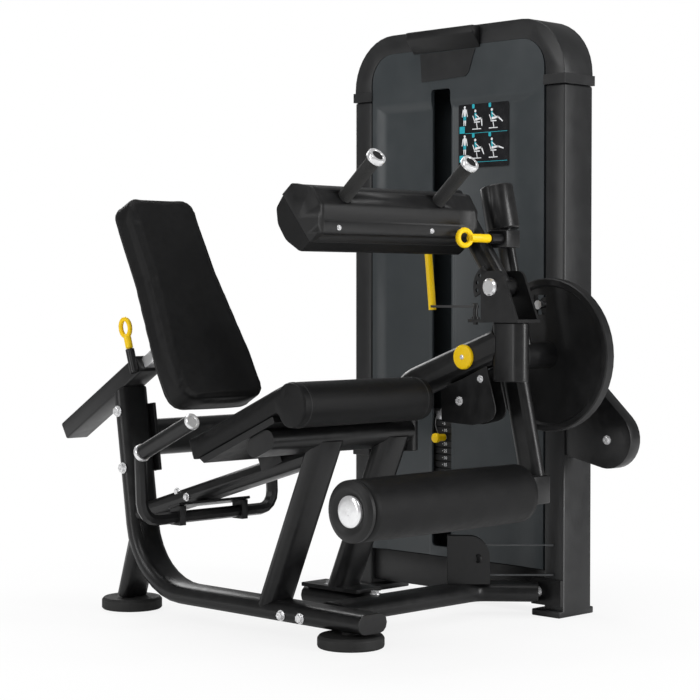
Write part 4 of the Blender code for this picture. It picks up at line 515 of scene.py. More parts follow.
rows.links.new(grow.outputs["Attribute"], placed.inputs["Scale"])
rows.links.new(placed.outputs[0], made.inputs[0])
rows.links.new(made.outputs[0], painted.inputs["Geometry"])
rows.links.new(rows_in.outputs["Finish"], painted.inputs["Material"])
rows.links.new(painted.outputs[0], rows_out.inputs[0])
row_inputs = {item.name: item.identifier for item in rows.interface.items_tree if item.in_out == "INPUT"}


def row_of(name, pattern, finish, places, body, spin=0.0, seed=3):
    """One mesh with a copy of pattern at each (point, turn, size)."""
    points = bpy.data.meshes.new(name + "_points")
    points.from_pydata([point for point, _, _ in places], [], [])
    points.attributes.new("turn", "FLOAT_VECTOR", "POINT")
    points.attributes.new("size", "FLOAT", "POINT")
    for i, (_, angles, size) in enumerate(places):
        points.attributes["turn"].data[i].vector = angles
        points.attributes["size"].data[i].value = size
    holder = bpy.data.objects.new(name + "_points", points)
    bpy.context.scene.collection.objects.link(holder)
    modifier = holder.modifiers.new("row", "NODES")
    modifier.node_group = rows
    modifier[row_inputs["Piece"]] = pattern
    modifier[row_inputs["Spin"]] = spin
    modifier[row_inputs["Seed"]] = seed
    modifier[row_inputs["Finish"]] = finish
    bpy.context.view_layer.update()
    mesh = bpy.data.meshes.new_from_object(holder.evaluated_get(bpy.context.evaluated_depsgraph_get()))
    bpy.data.objects.remove(holder)
    mesh.name = name
    if not mesh.materials:
        mesh.materials.append(finish)
    piece = bpy.data.objects.new(name, mesh)
    bpy.context.scene.collection.objects.link(piece)
    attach(piece, body)
    return piece


def hex_bolt():
    """A bolt head 24 mm across its corners: washer, chamfered hexagon and a shallow cup on top."""
    shape = bmesh.new()
    washer = [(0.0, 0.0150), (0.0012, 0.0155), (0.0020, 0.0152), (0.0022, 0.0146), (0.0022, 0.0)]
    head = [(0.0020, 0.0116), (0.0080, 0.0120), (0.0098, 0.0108), (0.0100, 0.0062), (0.0093, 0.0054),
        (0.0091, 0.0)]
    for line, steps in ((washer, 24), (head, 6)):
        rings = []
        for height, radius in line:
            count = steps if radius > 0 else 1
            rings.append(
                [
                    shape.verts.new((radius * math.cos(math.tau * i / steps),
                        radius * math.sin(math.tau * i / steps), height))
                    for i in range(count)
                ]
            )
        for low, high in zip(rings, rings[1:]):
            for i in range(steps):
                j = (i + 1) % steps
                if len(high) == 1:
                    shape.faces.new((low[i], low[j], high[0]))
                else:
                    shape.faces.new((low[i], low[j], high[j], high[i]))
    bmesh.ops.recalc_face_normals(shape, faces=shape.faces)
    mesh = bpy.data.meshes.new("hex_bolt")
    shape.to_mesh(mesh)
    shape.free()
    mesh.materials.append(chrome)
    pattern = bpy.data.objects.new("hex_bolt_pattern", mesh)
    bpy.context.scene.collection.objects.link(pattern)
    pattern.hide_render = True
    return pattern


bolt = hex_bolt()
LEFT, RIGHT, UP, DOWN, FORE = Vector((-1, 0, 0)), Vector((1, 0, 0)), Vector((0, 0, 1)), Vector((0, 0,
    -1)), Vector((0, -1, 0))
frame_nodes = [name for name,
    node in frame["nodes"].items() if node["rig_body"] == frame["nodes"]["main_rail"]["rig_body"]]
frame_body = frame["nodes"]["main_rail"]["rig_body"]
bolt_places = []
for place, facing, size in (
    ((-0.050, 0.5557, 0.542), LEFT, 1.0),
    ((-0.050, 0.5337, 0.389), LEFT, 1.0),
    ((0.060, 0.5557, 0.542), RIGHT, 1.0),
    ((0.060, 0.5337, 0.389), RIGHT, 1.0),
    ((-0.052, -0.0925, 0.0600), LEFT, 0.9),
    ((-0.052, -0.1612, 0.0600), LEFT, 0.9),
    ((0.2205, 0.0078, 0.105), UP, 0.9),
    ((0.2292, -0.1487, 0.105), UP, 0.9),
    ((0.690, -0.3132, 0.0652), LEFT, 0.9),
    ((-0.045, -0.1147, 0.4542), DOWN, 0.8),
    ((-0.045, -0.2634, 0.4654), DOWN, 0.8),
    ((-0.042, 0.3329, 0.3373), LEFT, 0.7),
    ((-0.042, 0.2799, 0.3280), LEFT, 0.7),
    ((0.704, -0.5281, 0.4811), LEFT, 0.8),
    ((0.292, -0.3808, 0.5929), LEFT, 0.75),
    ((0.292, -0.4503, 0.6501), LEFT, 0.6),
):
    # A place with no surface behind it gets no bolt.
    found = seated(frame_nodes, at(*place), facing)
    if found is None:
        continue
    bolt_places.append((found - facing * 0.0002, facing.to_track_quat("Z", "Y").to_euler(), size))
row_of("frame_bolts", bolt, chrome, bolt_places, frame_body, spin=6.28)

# ---------------------------------------------------------------- rubber feet
# Two moulded rubber discs with a bevelled tread edge, bolted up into the ends of the floor rail.
# The rubber is matt with dust in its pores.
rubber = coated("ribbed_rubber", (0.010, 0.010, 0.010), (0.020, 0.020, 0.019), 0.62, 0.15, 800, 0.5, 0.00015,
    scuff=0.1)
for node in ("front_foot", "rear_foot"):
    carried(node, "rubber_" + node, rubber, soft=0.0025, steps=3)

# ---------------------------------------------------------------- seat pan and seat pad
# The pan is moulded in black plastic, and the pad on it is foam under synthetic leather, pulled
# tight and stapled. A sewn seam with a thin welt runs round each side of the pad.
moulded = coated(
    "moulded_plastic", (0.0062, 0.0062, 0.0066), (0.0110, 0.0110, 0.0115), 0.42, 0.12, 1400, 0.6, 0.00008,
        scuff=0.12, shine=0.35
)
carried("seat_pan", "moulded_seat_pan", moulded, soft=0.0016)
leather = coated(
    "synthetic_leather", (0.0045, 0.0045, 0.0048), (0.0080, 0.0080, 0.0084), 0.48, 0.10, 520, 0.75, 0.00022,
        haze_size=7.0, scuff=0.05, shine=0.2
)
welt_leather = coated(
    "welt_leather", (0.0055, 0.0055, 0.006), (0.010, 0.010, 0.0105), 0.46, 0.10, 700, 0.6, 0.00012,
        haze_size=9.0, scuff=0.05
)
thread = coated("waxed_thread", (0.014, 0.014, 0.014), (0.030, 0.030, 0.029), 0.55, 0.1, 2400, 0.6, 0.00004,
    haze_size=30.0)


def stuffed(node, name, rest, lift=0.0045, voxel=0.005, shrink=0.0015):
    """A pad blown up under its cover from its CAD solid. The side that faces rest is held flat."""
    source = frame["nodes"][node]
    shape = bmesh.new()
    shape.from_mesh(source.data)
    bmesh.ops.remove_doubles(shape, verts=shape.verts, dist=0.00002)
    bmesh.ops.recalc_face_normals(shape, faces=shape.faces)
    mesh = bpy.data.meshes.new(name)
    shape.to_mesh(mesh)
    shape.free()
    piece = bpy.data.objects.new(name, mesh)
    bpy.context.scene.collection.objects.link(piece)
    cells = piece.modifiers.new("cells", "REMESH")
    cells.mode = "VOXEL"
    cells.voxel_size = voxel
    inner = piece.modifiers.new("inner", "DISPLACE")
    inner.strength = -shrink
    inner.mid_level = 0.0
    even = piece.modifiers.new("even", "SMOOTH")
    even.factor = 0.5
    even.iterations = 6
    bpy.context.view_layer.update()
    piece.data = bpy.data.meshes.new_from_object(piece.evaluated_get(bpy.context.evaluated_depsgraph_get()))
    piece.modifiers.clear()
    begin = [vertex.co.copy() for vertex in piece.data.vertices]
    hold = piece.vertex_groups.new(name="board")
    held = [vertex.index for vertex in piece.data.vertices if vertex.normal.dot(rest) > 0.75]
    hold.add(held, 1.0, "REPLACE")
    cloth = piece.modifiers.new("cover", "CLOTH")
    cloth.settings.use_pressure = True
    cloth.settings.uniform_pressure_force = 4.0
    cloth.settings.effector_weights.gravity = 0.0
    cloth.settings.vertex_group_mass = "board"
    cloth.settings.quality = 4
    cloth.settings.mass = 0.3
    cloth.settings.tension_stiffness = 25
    cloth.settings.compression_stiffness = 25
    cloth.point_cache.frame_start = 1
    cloth.point_cache.frame_end = 16
    for number in range(1, 15):
        bpy.context.scene.frame_set(number)
    swollen = bpy.data.meshes.new_from_object(piece.evaluated_get(bpy.context.evaluated_depsgraph_get()))
    piece.modifiers.clear()
    for vertex, from_place in zip(swollen.vertices, begin):
        move = vertex.co - from_place
        if move.length > lift:
            vertex.co = from_place + move.normalized() * lift
    piece.data = swollen
    bpy.context.scene.frame_set(1)
    settle = piece.modifiers.new("settle", "SMOOTH")
    settle.factor = 0.5
    settle.iterations = 3
    finer = piece.modifiers.new("finer", "SUBSURF")
    finer.levels = 1
    finer.render_levels = 1
    bpy.context.view_layer.update()
    final = bpy.data.meshes.new_from_object(piece.evaluated_get(bpy.context.evaluated_depsgraph_get()))
    piece.modifiers.clear()
    piece.data = final
    final.materials.clear()
    final.materials.append(leather)
    for polygon in final.polygons:
        polygon.use_smooth = True
    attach(piece, source["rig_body"])
    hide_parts(node)
    return piece


def seam_points(piece, place, normal, pitch):
    """Evenly spaced points with outward normals where a plane cuts a piece, round its longest loop."""
    shape = bmesh.new()
    shape.from_mesh(piece.data)
    tree = BVHTree.FromBMesh(shape)
    cut = bmesh.ops.bisect_plane(
        shape, geom=shape.verts[:] + shape.edges[:] + shape.faces[:], plane_co=place, plane_no=normal,
            dist=0.00001
    )["geom_cut"]
    edges = {edge for edge in cut if isinstance(edge, bmesh.types.BMEdge)}
    links = {}
    for edge in edges:
        for one, two in (edge.verts, reversed(edge.verts)):
            links.setdefault(one, []).append(two)
    loops, used = [], set()
    for first in links:
        if first in used:
            continue
        loop, now = [first], first
        used.add(first)
        while True:
            ahead = [vertex for vertex in links[now] if vertex not in used]
            if not ahead:
                break
            now = ahead[0]
            used.add(now)
            loop.append(now)
        loops.append([vertex.co.copy() for vertex in loop])
    shape.free()
    loop = max(loops, key=len)
    loop.append(loop[0])
    lengths = [0.0]
    for one, two in zip(loop, loop[1:]):
        lengths.append(lengths[-1] + (two - one).length)
    count = max(8, int(lengths[-1] / pitch))
    spaced, index = [], 0
    for step in range(count):
        target = lengths[-1] * step / count
        while lengths[index + 1] < target:
            index += 1
        share = (target - lengths[index]) / max(1e-9, lengths[index + 1] - lengths[index])
        point = loop[index].lerp(loop[index + 1], share)
        spaced.append(point)
    smoothed = [(spaced[i - 1] + spaced[i] * 2 + spaced[(i + 1) % count]) / 4 for i in range(count)]
    return [(point, tree.find_nearest(point)[1]) for point in smoothed]


def welted(name, piece, planes, radius=0.0016, sink=0.0004, sides=8):
    """Thin sewn piping laid on a piece along each plane's cut, as one closed tube for each."""
    shape = bmesh.new()
    for place, normal in planes:
        line = seam_points(piece, place, normal, 0.005)
        rings = []
        count = len(line)
        for i, (point, outward) in enumerate(line):
            along = (line[(i + 1) % count][0] - line[i - 1][0]).normalized()
            side = along.cross(outward).normalized()
            centre = point - outward * sink
            rings.append(
                [
                    shape.verts.new(
                        centre + (outward * math.cos(math.tau * k / sides) + side * math.sin(math.tau * k / sides)) * radius
                    )
                    for k in range(sides)
                ]
            )
        for i in range(count):
            for k in range(sides):
                m = (k + 1) % sides
                shape.faces.new((rings[i][k], rings[i][m], rings[(i + 1) % count][m],
                    rings[(i + 1) % count][k]))
    bmesh.ops.recalc_face_normals(shape, faces=shape.faces)
    mesh = bpy.data.meshes.new(name)
    shape.to_mesh(mesh)
    shape.free()
    for polygon in mesh.polygons:
        polygon.use_smooth = True
    mesh.materials.append(welt_leather)
    welt = bpy.data.objects.new(name, mesh)
    bpy.context.scene.collection.objects.link(welt)
    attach(welt, piece["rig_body"] if "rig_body" in piece else frame_body)
    return welt


stitch_shape = bmesh.new()
bmesh.ops.create_icosphere(stitch_shape, subdivisions=1, radius=0.5)
for vertex in stitch_shape.verts:
    vertex.co = Vector((vertex.co.x * 0.0036, vertex.co.y * 0.0010, vertex.co.z * 0.0010))
stitch_mesh = bpy.data.meshes.new("stitch")
stitch_shape.to_mesh(stitch_mesh)
stitch_shape.free()
stitch_mesh.materials.append(thread)
stitch = bpy.data.objects.new("stitch_pattern", stitch_mesh)
bpy.context.scene.collection.objects.link(stitch)
stitch.hide_render = True


def stitched(name, piece, planes, body):
    """Sewn stitches along each plane's cut, each lying along its seam."""
    places = []
    for place, normal in planes:
        line = seam_points(piece, place, normal, 0.0055)
        count = len(line)
        for i, (point, outward) in enumerate(line):
            along = (line[(i + 1) % count][0] - line[i - 1][0]).normalized()
            side = outward.cross(along).normalized()
            up = along.cross(side)
            turned = Matrix((along, side, up)).transposed().to_euler()
            places.append((point + outward * 0.0001, turned, 1.0))
    return row_of(name, stitch, thread, places, body)


seat_low, seat_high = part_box("seat_pad")
seat_cover = stuffed("seat_pad", "seat_cushion", Vector((0, 0.3971, -0.9178)))
side = Vector((1, 0, 0))
seat_planes = [(Vector((seat_low.x + 0.024, 0, 0)), side), (Vector((seat_high.x - 0.024, 0, 0)), side)]
welted("seat_welts", seat_cover, seat_planes)
seat_rows = [(Vector((seat_low.x + 0.030, 0, 0)), side), (Vector((seat_high.x - 0.030, 0, 0)), side)]
stitched("seat_stitches", seat_cover, seat_rows, frame_body)

# ---------------------------------------------------------------- hand grips beside the seat
# A bent steel bar under the seat ends in two hand grips, each closed by a chromed end disc and a chromed ring. The
# grips keep the bar's powder coat; no rubber sleeves are made.
carried("grip_bar", "coated_grip_bar", powder_coat, soft=0.0008)
grip_line = Vector((0, 0.242 - 0.044, 0.4538 - 0.5437)).normalized()
for tag, across in (("left", -0.225), ("right", 0.225)):
    top = at(across, 0.044, 0.5437)
    disc = lathed(
        tag + "_grip_end",
        chrome,
        [(0.0, 0.0), (0.0, 0.0125), (-0.0015, 0.0135), (-0.0015, 0.0185), (0.0005, 0.0208), (0.0060, 0.0212),
            (0.0085, 0.0200), (0.0085, 0.0)],
        top - grip_line * 0.0085,
        grip_line,
    )
    ring = lathed(
        tag + "_grip_ring",
        chrome,
        [(0.0, 0.0160), (0.0, 0.0215), (0.0015, 0.0230), (0.0100, 0.0230), (0.0115, 0.0215), (0.0115, 0.0160),
            (0.0, 0.0160)],
        at(across, 0.2300, 0.4593),
        grip_line,
    )
    for piece in (disc, ring):
        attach(piece, frame_body)

# ---------------------------------------------------------------- backrest, its slide and pull handle
# The pad slides on a chromed bar in the slide tube and is let go by a yellow looped handle. The pad is foam on a
# board under the same leather, with piping round its back edge.
carried("backrest_slide", "chromed_backrest_slide", chrome, soft=0.0010)
yellow = coated(
    "yellow_moulding", (0.98, 0.62, 0.0), (1.0, 0.68, 0.003), 0.34, 0.12, 1500, 0.3, 0.00003, haze_size=20.0,
        scuff=0.1, shine=0.3
)
carried("pull_lever", "yellow_pull_lever", yellow, soft=0.0008, angle=50)
back_tilt = math.radians(27.4)
back_out = Vector((0, math.cos(back_tilt), -math.sin(back_tilt)))
back_cover = stuffed("backrest_pad", "backrest_cushion", back_out, lift=0.0035)
back_front = at(0, 0.163, 0.590)
back_body = frame["nodes"]["backrest_pad"]["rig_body"]
back_cover["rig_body"] = back_body
welted("backrest_welts", back_cover, [(back_front + back_out * 0.060, back_out)])
stitched("backrest_stitches", back_cover, [(back_front + back_out * 0.053, back_out)], back_body)

# ---------------------------------------------------------------- support arm, post and start lever
# The bent arm is welded tube with a flat post on top, closed by a yellow moulded cap over the
# axle. A plate lever with a grooved yellow grip sets where the swing starts.
for node in ("support_arm", "pivot_post"):
    carried(node, "welded_" + node, powder_coat, soft=0.003, steps=3)
carried("pad_bracket", "coated_pad_bracket", powder_coat, soft=0.0012)
cap_place = seated(frame_nodes, at(0.293, -0.3963, 0.7034), LEFT) or at(0.292, -0.3963, 0.7034)
cap = lathed(
    "yellow_joint_cap",
    yellow,
    [(-0.0005, 0.0), (-0.0005, 0.0310), (0.0050, 0.0310), (0.0075, 0.0290), (0.0080, 0.0270),
        (0.0070, 0.0140), (0.0075, 0.0110), (0.0075, 0.0)],
    cap_place,
    LEFT,
)
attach(cap, frame_body)
cap_screw = lathed(
    "joint_cap_screw",
    chrome,
    [(0.0070, 0.0062), (0.0092, 0.0060), (0.0100, 0.0048), (0.0100, 0.0026), (0.0088, 0.0024), (0.0088, 0.0)],
    cap_place,
    LEFT,
)
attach(cap_screw, frame_body)
lever_plate = carried("start_lever", "start_lever_plate", powder_coat, soft=0.0008,
    angle=50)
lever_plate.data.materials.append(yellow)
for polygon in lever_plate.data.polygons:
    middle = sum((lever_plate.data.vertices[i].co for i in polygon.vertices),
        Vector()) / len(polygon.vertices)
    polygon.material_index = 1 if middle.z > 0.806 and middle.y > at(0, -0.36, 0).y else 0

# ---------------------------------------------------------------- thigh pad
# A foam roll under leather sits in a moulded shell that hangs from a bent arm. The shell has raised
# end rims, two long grooves and two screws; ribbed rubber handles with chromed caps stand out of it.
carried("thigh_arm", "coated_thigh_arm", powder_coat, soft=0.0012)
carried("pad_pivot_bolt", "chromed_pad_pivot_bolt", chrome, soft=0.0008)
thigh_body = frame["nodes"]["thigh_shell"]["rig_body"]


def relieved(node, name, finish, cuts, moved, soft=0.0010):
    """A CAD node's shape cut along planes, with its points then moved by a function of their place."""
    source = frame["nodes"][node]
    shape = bmesh.new()
    shape.from_mesh(source.data)
    bmesh.ops.remove_doubles(shape, verts=shape.verts, dist=0.00002)
    bmesh.ops.dissolve_limit(shape, angle_limit=math.radians(0.6), verts=shape.verts, edges=shape.edges)
    for place, normal in cuts:
        bmesh.ops.bisect_plane(
            shape, geom=shape.verts[:] + shape.edges[:] + shape.faces[:], plane_co=place, plane_no=normal,
                dist=0.00005
        )
    bmesh.ops.triangulate(shape, faces=[face for face in shape.faces if len(face.verts) > 4])
    bmesh.ops.recalc_face_normals(shape, faces=shape.faces)
    shape.normal_update()
    shifts = [moved(vertex.co, vertex.normal) for vertex in shape.verts]
    for vertex, shift in zip(shape.verts, shifts):
        vertex.co += shift
    bmesh.ops.dissolve_degenerate(shape, dist=0.00002, edges=shape.edges)
    mesh = bpy.data.meshes.new(name)
    shape.to_mesh(mesh)
    shape.free()
    piece = bpy.data.objects.new(name, mesh)
    bpy.context.scene.collection.objects.link(piece)
    for polygon in mesh.polygons:
        polygon.use_smooth = True
    mesh.set_sharp_from_angle(angle=math.radians(34))
    mesh.materials.append(finish)
    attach(piece, source["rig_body"])
    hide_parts(node)
    return piece


shell_low, shell_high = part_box("thigh_shell")
groove_ends = (at(-0.250, 0, 0).x, at(0.215, 0, 0).x)
groove_heights = (1.028, 0.994)
shell_cuts = []
for height in groove_heights:
    for step in (-0.0040, -0.0026, 0.0026, 0.0040):
        shell_cuts.append((Vector((0, 0, height + step)), UP))
for across in (*groove_ends, groove_ends[0] + 0.003, groove_ends[1] - 0.003):
    shell_cuts.append((Vector((across, 0, 0)), side))
for across in (shell_low.x + 0.014, shell_low.x + 0.016, shell_high.x - 0.014, shell_high.x - 0.016):
    shell_cuts.append((Vector((across, 0, 0)), side))


def shell_relief(place, outward):
    """Rims stand 1.5 mm proud at both ends, and the front has two grooves 2 mm deep."""
    if outward.x**2 > 0.6:
        return Vector()
    shift = Vector()
    if place.x < shell_low.x + 0.0145 or place.x > shell_high.x - 0.0145:
        shift += Vector((0, outward.y, outward.z)) * 0.0015
    if outward.y < -0.45 and groove_ends[0] + 0.002 < place.x < groove_ends[1] - 0.002:
        for height in groove_heights:
            if abs(place.z - height) < 0.0030:
                shift -= outward * 0.0020
    return shift


relieved("thigh_shell", "moulded_thigh_shell", moulded, shell_cuts, shell_relief)
foam_cover = carried("thigh_foam", "thigh_cushion", leather, soft=0.0045, steps=4)
screw_places = []
for place in ((-0.2019, -0.45, 1.0120), (0.1126, -0.45, 1.0120)):
    found = seated(["thigh_shell"], at(*place), FORE)
    if found is not None:
        screw_places.append((found - FORE * 0.0004, FORE.to_track_quat("Z", "Y").to_euler(), 0.42))
row_of("thigh_shell_screws", bolt, chrome, screw_places, thigh_body, spin=6.28)


def line_of(node):
    """(start, unit direction, length, radius) of a long round CAD node, from its own points."""
    points = [vertex.co for vertex in frame["nodes"][node].data.vertices]
    middle = sum(points, Vector()) / len(points)
    along = max(((point - middle) for point in points), key=lambda offset: offset.length).normalized()
    for _ in range(12):
        total = Vector()
        for point in points:
            offset = point - middle
            total += offset * offset.dot(along)
        along = total.normalized()
    reach = [(point - middle).dot(along) for point in points]
    radius = max(((point - middle) - along * (point - middle).dot(along)).length for point in points)
    return middle + along * min(reach), along, max(reach) - min(reach), radius


for node in ("left_pad_handle", "right_pad_handle"):
    start, along, length, radius = line_of(node)
    if along.z < 0:
        start, along = start + along * length, -along
    sleeve = [(0.0, 0.0), (0.0, radius - 0.002), (0.002, radius)]
    ribs = int((length - 0.010) / 0.0052)
    for i in range(ribs):
        base = 0.006 + i * 0.0052
        sleeve += [(base, radius), (base + 0.0008, radius - 0.0007), (base + 0.0016, radius - 0.0007),
            (base + 0.0024, radius)]
    sleeve += [(length - 0.001, radius), (length, radius - 0.001), (length, 0.0)]
    sleeve_piece = lathed("ribbed_" + node, rubber, sleeve, start, along, sharp=55)
    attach(sleeve_piece, frame["nodes"][node]["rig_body"])
    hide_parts(node)
    end = start + along * (length - 0.013)
    handle_cap = lathed(
        "chromed_cap_" + node,
        chrome,
        [(0.0, 0.0160), (0.0, 0.0205), (0.0015, 0.0220), (0.0045, 0.0222), (0.0050, 0.0214), (0.0060, 0.0214),
            (0.0065, 0.0224),
         (0.0135, 0.0224), (0.0158, 0.0208), (0.0160, 0.0150), (0.0145, 0.0138), (0.0145, 0.0)],
        end,
        along,
    )
    dish = lathed(
        "dark_dish_" + node,
        moulded,
        [(0.0140, 0.0), (0.0140, 0.0136), (0.0152, 0.0130), (0.0150, 0.0080), (0.0146, 0.0060),
            (0.0150, 0.0042), (0.0152, 0.0)],
        end,
        along,
    )
    for piece, look in ((handle_cap, "chrome"), (dish, "black_plastic")):
        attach(piece, thigh_body)
carried("pop_pin", "yellow_pop_pin", yellow, soft=0.0008, angle=50)

# ---------------------------------------------------------------- swinging lever and roller
# The lever, its counterweight and the dished disc turn together on a steel axle. The roller is
# foam under leather on a steel shaft, closed by a dished plastic cap with a chromed disc.
for node in ("lever_arm", "counterweight_arm", "counterweight", "cable_cam"):
    carried(node, "swinging_" + node, powder_coat, soft=0.003, steps=3)
carried("cam_disc", "moulded_cam_disc", moulded, soft=0.0020, steps=3)
for node in ("knee_axle", "roller_shaft", "range_plunger"):
    carried(node, "turned_" + node, turned_steel, soft=0.0008)
roller_body = frame["nodes"]["roller_foam"]["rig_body"]
foam_low, foam_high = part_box("roller_foam")
roller_axis_y = (foam_low.y + foam_high.y) / 2
roller_axis_z = (foam_low.z + foam_high.z) / 2
foam_radius = (foam_high.z - foam_low.z) / 2
foam_line = [(0.0, 0.030), (0.0, foam_radius - 0.009), (0.0015, foam_radius - 0.004),
    (0.005, foam_radius - 0.0008)]
foam_length = foam_high.x - foam_low.x
for i in range(1, 40):
    share = i / 40
    swell = 0.0012 * math.sin(math.pi * share) + 0.00025 * math.sin(share * 41.0)
    foam_line.append((0.006 + share * (foam_length - 0.012), foam_radius - 0.0012 + swell))
foam_line += [
    (foam_length - 0.005, foam_radius - 0.0008),
    (foam_length - 0.0015, foam_radius - 0.004),
    (foam_length, foam_radius - 0.009),
    (foam_length, 0.030),
    (0.0, 0.030),
]
roller_cover = lathed(
    "roller_cushion", leather, foam_line, Vector((foam_low.x, roller_axis_y, roller_axis_z)), RIGHT, steps=64,
        sharp=60
)
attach(roller_cover, roller_body)
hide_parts("roller_foam")
cap_low, cap_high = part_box("roller_cap")
cap_radius = (cap_high.z - cap_low.z) / 2
roller_cap = lathed(
    "dished_roller_cap",
    moulded,
    [(0.0, 0.0), (0.0, cap_radius - 0.004), (0.002, cap_radius), (0.010, cap_radius - 0.0005),
        (0.0155, cap_radius - 0.010),
     (0.0168, cap_radius - 0.016), (0.0160, cap_radius - 0.021), (0.0100, cap_radius - 0.031),
         (0.0090, 0.0375), (0.0090, 0.0)],
    Vector((cap_high.x, roller_axis_y, roller_axis_z)),
    LEFT,
    steps=56,
)
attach(roller_cap, frame["nodes"]["roller_cap"]["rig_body"])
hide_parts("roller_cap")
roller_disc = lathed(
    "chromed_roller_disc",
    chrome,
    [(0.0085, 0.0368), (0.0140, 0.0365), (0.0160, 0.0345), (0.0170, 0.0250), (0.0172, 0.0085),
        (0.0160, 0.0075), (0.0160, 0.0)],
    Vector((cap_high.x, roller_axis_y, roller_axis_z)),
    LEFT,
    steps=48,
)
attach(roller_disc, frame["nodes"]["roller_cap"]["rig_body"])

# ---------------------------------------------------------------- guards, pulleys and cables
# Folded steel guards over moulded nylon pulleys lead a nylon-jacketed wire rope from the cam to
# the stack. Two guards are bolted on, and the guard on the floor has a round boss.
for node in ("under_guard", "floor_guard", "outrigger_guard"):
    carried(node, "coated_" + node, powder_coat, soft=0.0015, steps=3)
for node in ("under_pulley", "floor_pulley", "outrigger_pulley", "top_pulley", "side_pulley"):
    carried(node, "moulded_" + node, moulded, soft=0.0010)
cable_jacket = coated("cable_jacket", (0.045, 0.048, 0.05), (0.08, 0.084, 0.088), 0.35, 0.1, 1800, 0.5,
    0.00005)
for node in ("floor_cable", "stack_cable"):
    carried(node, "jacketed_" + node, cable_jacket, soft=0.0)
boss_place = seated(["floor_guard"], at(0.5, -0.2276, 0.1587), LEFT)
if boss_place is not None:
    boss = lathed(
        "floor_guard_boss",
        powder_coat,
        [(-0.0005, 0.0), (-0.0005, 0.0120), (0.0030, 0.0115), (0.0040, 0.0100), (0.0040, 0.0060),
            (0.0030, 0.0050), (0.0030, 0.0)],
        boss_place,
        LEFT,
    )
    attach(boss, frame_body)

# ---------------------------------------------------------------- tower
# Grey coated columns under a moulded head with round shoulders, and slate sheet panels pressed
# with a raised border, which a soft step joins to the middle. A lip stiffens the slot's edges.
column_coat = coated(
    "column_coat", (0.0120, 0.0123, 0.0130), (0.0175, 0.0180, 0.0187), 0.36, 0.08, 1100, 0.2, 0.00004,
        haze_size=3.0, scuff=0.08
)
for node in ("front_column", "rear_column", "top_arch"):
    carried(node, "tower_" + node, column_coat, soft=0.003, steps=3, angle=50)
panel_coat = coated(
    "slate_panel_coat", (0.031, 0.038, 0.042), (0.039, 0.046, 0.050), 0.36, 0.08, 1200, 0.2, 0.00004,
        haze_size=2.0, scuff=0.06
)
carried("back_panel", "tower_back_panel", panel_coat, soft=0.0012)
panel_low, panel_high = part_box("front_panel")
slot_left, slot_right = at(0, 0.089, 0).y, at(0, 0.017, 0).y
panel_steps = (0.0, 0.12, 0.26, 0.40, 0.5, 0.60, 0.74, 0.88, 1.0)
panel_cuts = []
for share in panel_steps:
    panel_cuts.append((Vector((0, panel_high.y - 0.008 - 0.046 * share, 0)), Vector((0, 1, 0))))
    panel_cuts.append((Vector((0, panel_low.y + 0.010 + 0.100 * share, 0)), Vector((0, 1, 0))))
    panel_cuts.append((Vector((0, 0, 1.405 - 0.030 * share)), UP))
for reach in (0.006, 0.010, 0.014):
    panel_cuts.append((Vector((0, slot_left + reach, 0)), Vector((0, 1, 0))))
    panel_cuts.append((Vector((0, slot_right - reach, 0)), Vector((0, 1, 0))))
    panel_cuts.append((Vector((0, 0, 1.434 + reach)), UP))
for i in range(1, 12):
    panel_cuts.append((Vector((0, 0, 0.15 + i * 0.105)), UP))


def eased(value):
    """A smooth step from 0 to 1."""
    value = min(1.0, max(0.0, value))
    return value * value * (3 - 2 * value)


def panel_relief(place, outward):
    """The border stands 9 mm in front of the middle, and the slot's lip 3 mm."""
    if place.x > panel_high.x - 0.0015:
        return Vector()
    border = max(
        eased((place.y - (panel_high.y - 0.054)) / 0.046),
        eased(((panel_low.y + 0.110) - place.y) / 0.100),
        eased((place.z - 1.375) / 0.030),
    )
    beside = max(place.y - slot_left, slot_right - place.y, place.z - 1.434)
    lip = 0.0030 * (1 - eased((beside - 0.006) / 0.008)) * (1 - border)
    target = panel_low.x + 0.0055 - 0.0090 * border - lip
    return Vector((target - place.x, 0, 0))


relieved("front_panel", "tower_front_panel", panel_coat, panel_cuts, panel_relief)
carried("visor", "tower_visor", moulded, soft=0.003, steps=3)

# ---------------------------------------------------------------- placards
# A gloss black instruction placard, printed in pale blue and white with generic exercise figures,
# and a blank satin plate under the visor. Both are stuck to the panel.


def flat_print(name, shapes, finish, front, body, sheet=0.0002):
    """Flat printed shapes, each a list of (across, up) corners, lying on a plane that faces the seat."""
    shape = bmesh.new()
    for corners in shapes:
        shape.faces.new([shape.verts.new((front, across, up)) for across, up in corners])
    bmesh.ops.triangulate(shape, faces=shape.faces)
    for face in shape.faces:
        face.normal_update()
        if face.normal.x > 0:
            face.normal_flip()
    mesh = bpy.data.meshes.new(name)
    shape.to_mesh(mesh)
    shape.free()
    mesh.materials.append(finish)
    piece = bpy.data.objects.new(name, mesh)
    bpy.context.scene.collection.objects.link(piece)
    ink = piece.modifiers.new("ink", "SOLIDIFY")
    ink.thickness = sheet
    ink.offset = 0
    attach(piece, body)
    return piece


def round_box(y0, y1, z0, z1, radius=0.002, steps=4):
    """Corners of a rounded rectangle."""
    corners = []
    for cy, cz, turn_from in (
        (y1 - radius, z1 - radius, 0.0),
        (y0 + radius, z1 - radius, 0.5),
        (y0 + radius, z0 + radius, 1.0),
        (y1 - radius, z0 + radius, 1.5),
    ):
        for i in range(steps + 1):
            angle = math.pi * (turn_from + 0.5 * i / steps)
            corners.append((cy + radius * math.cos(angle), cz + radius * math.sin(angle)))
    return corners


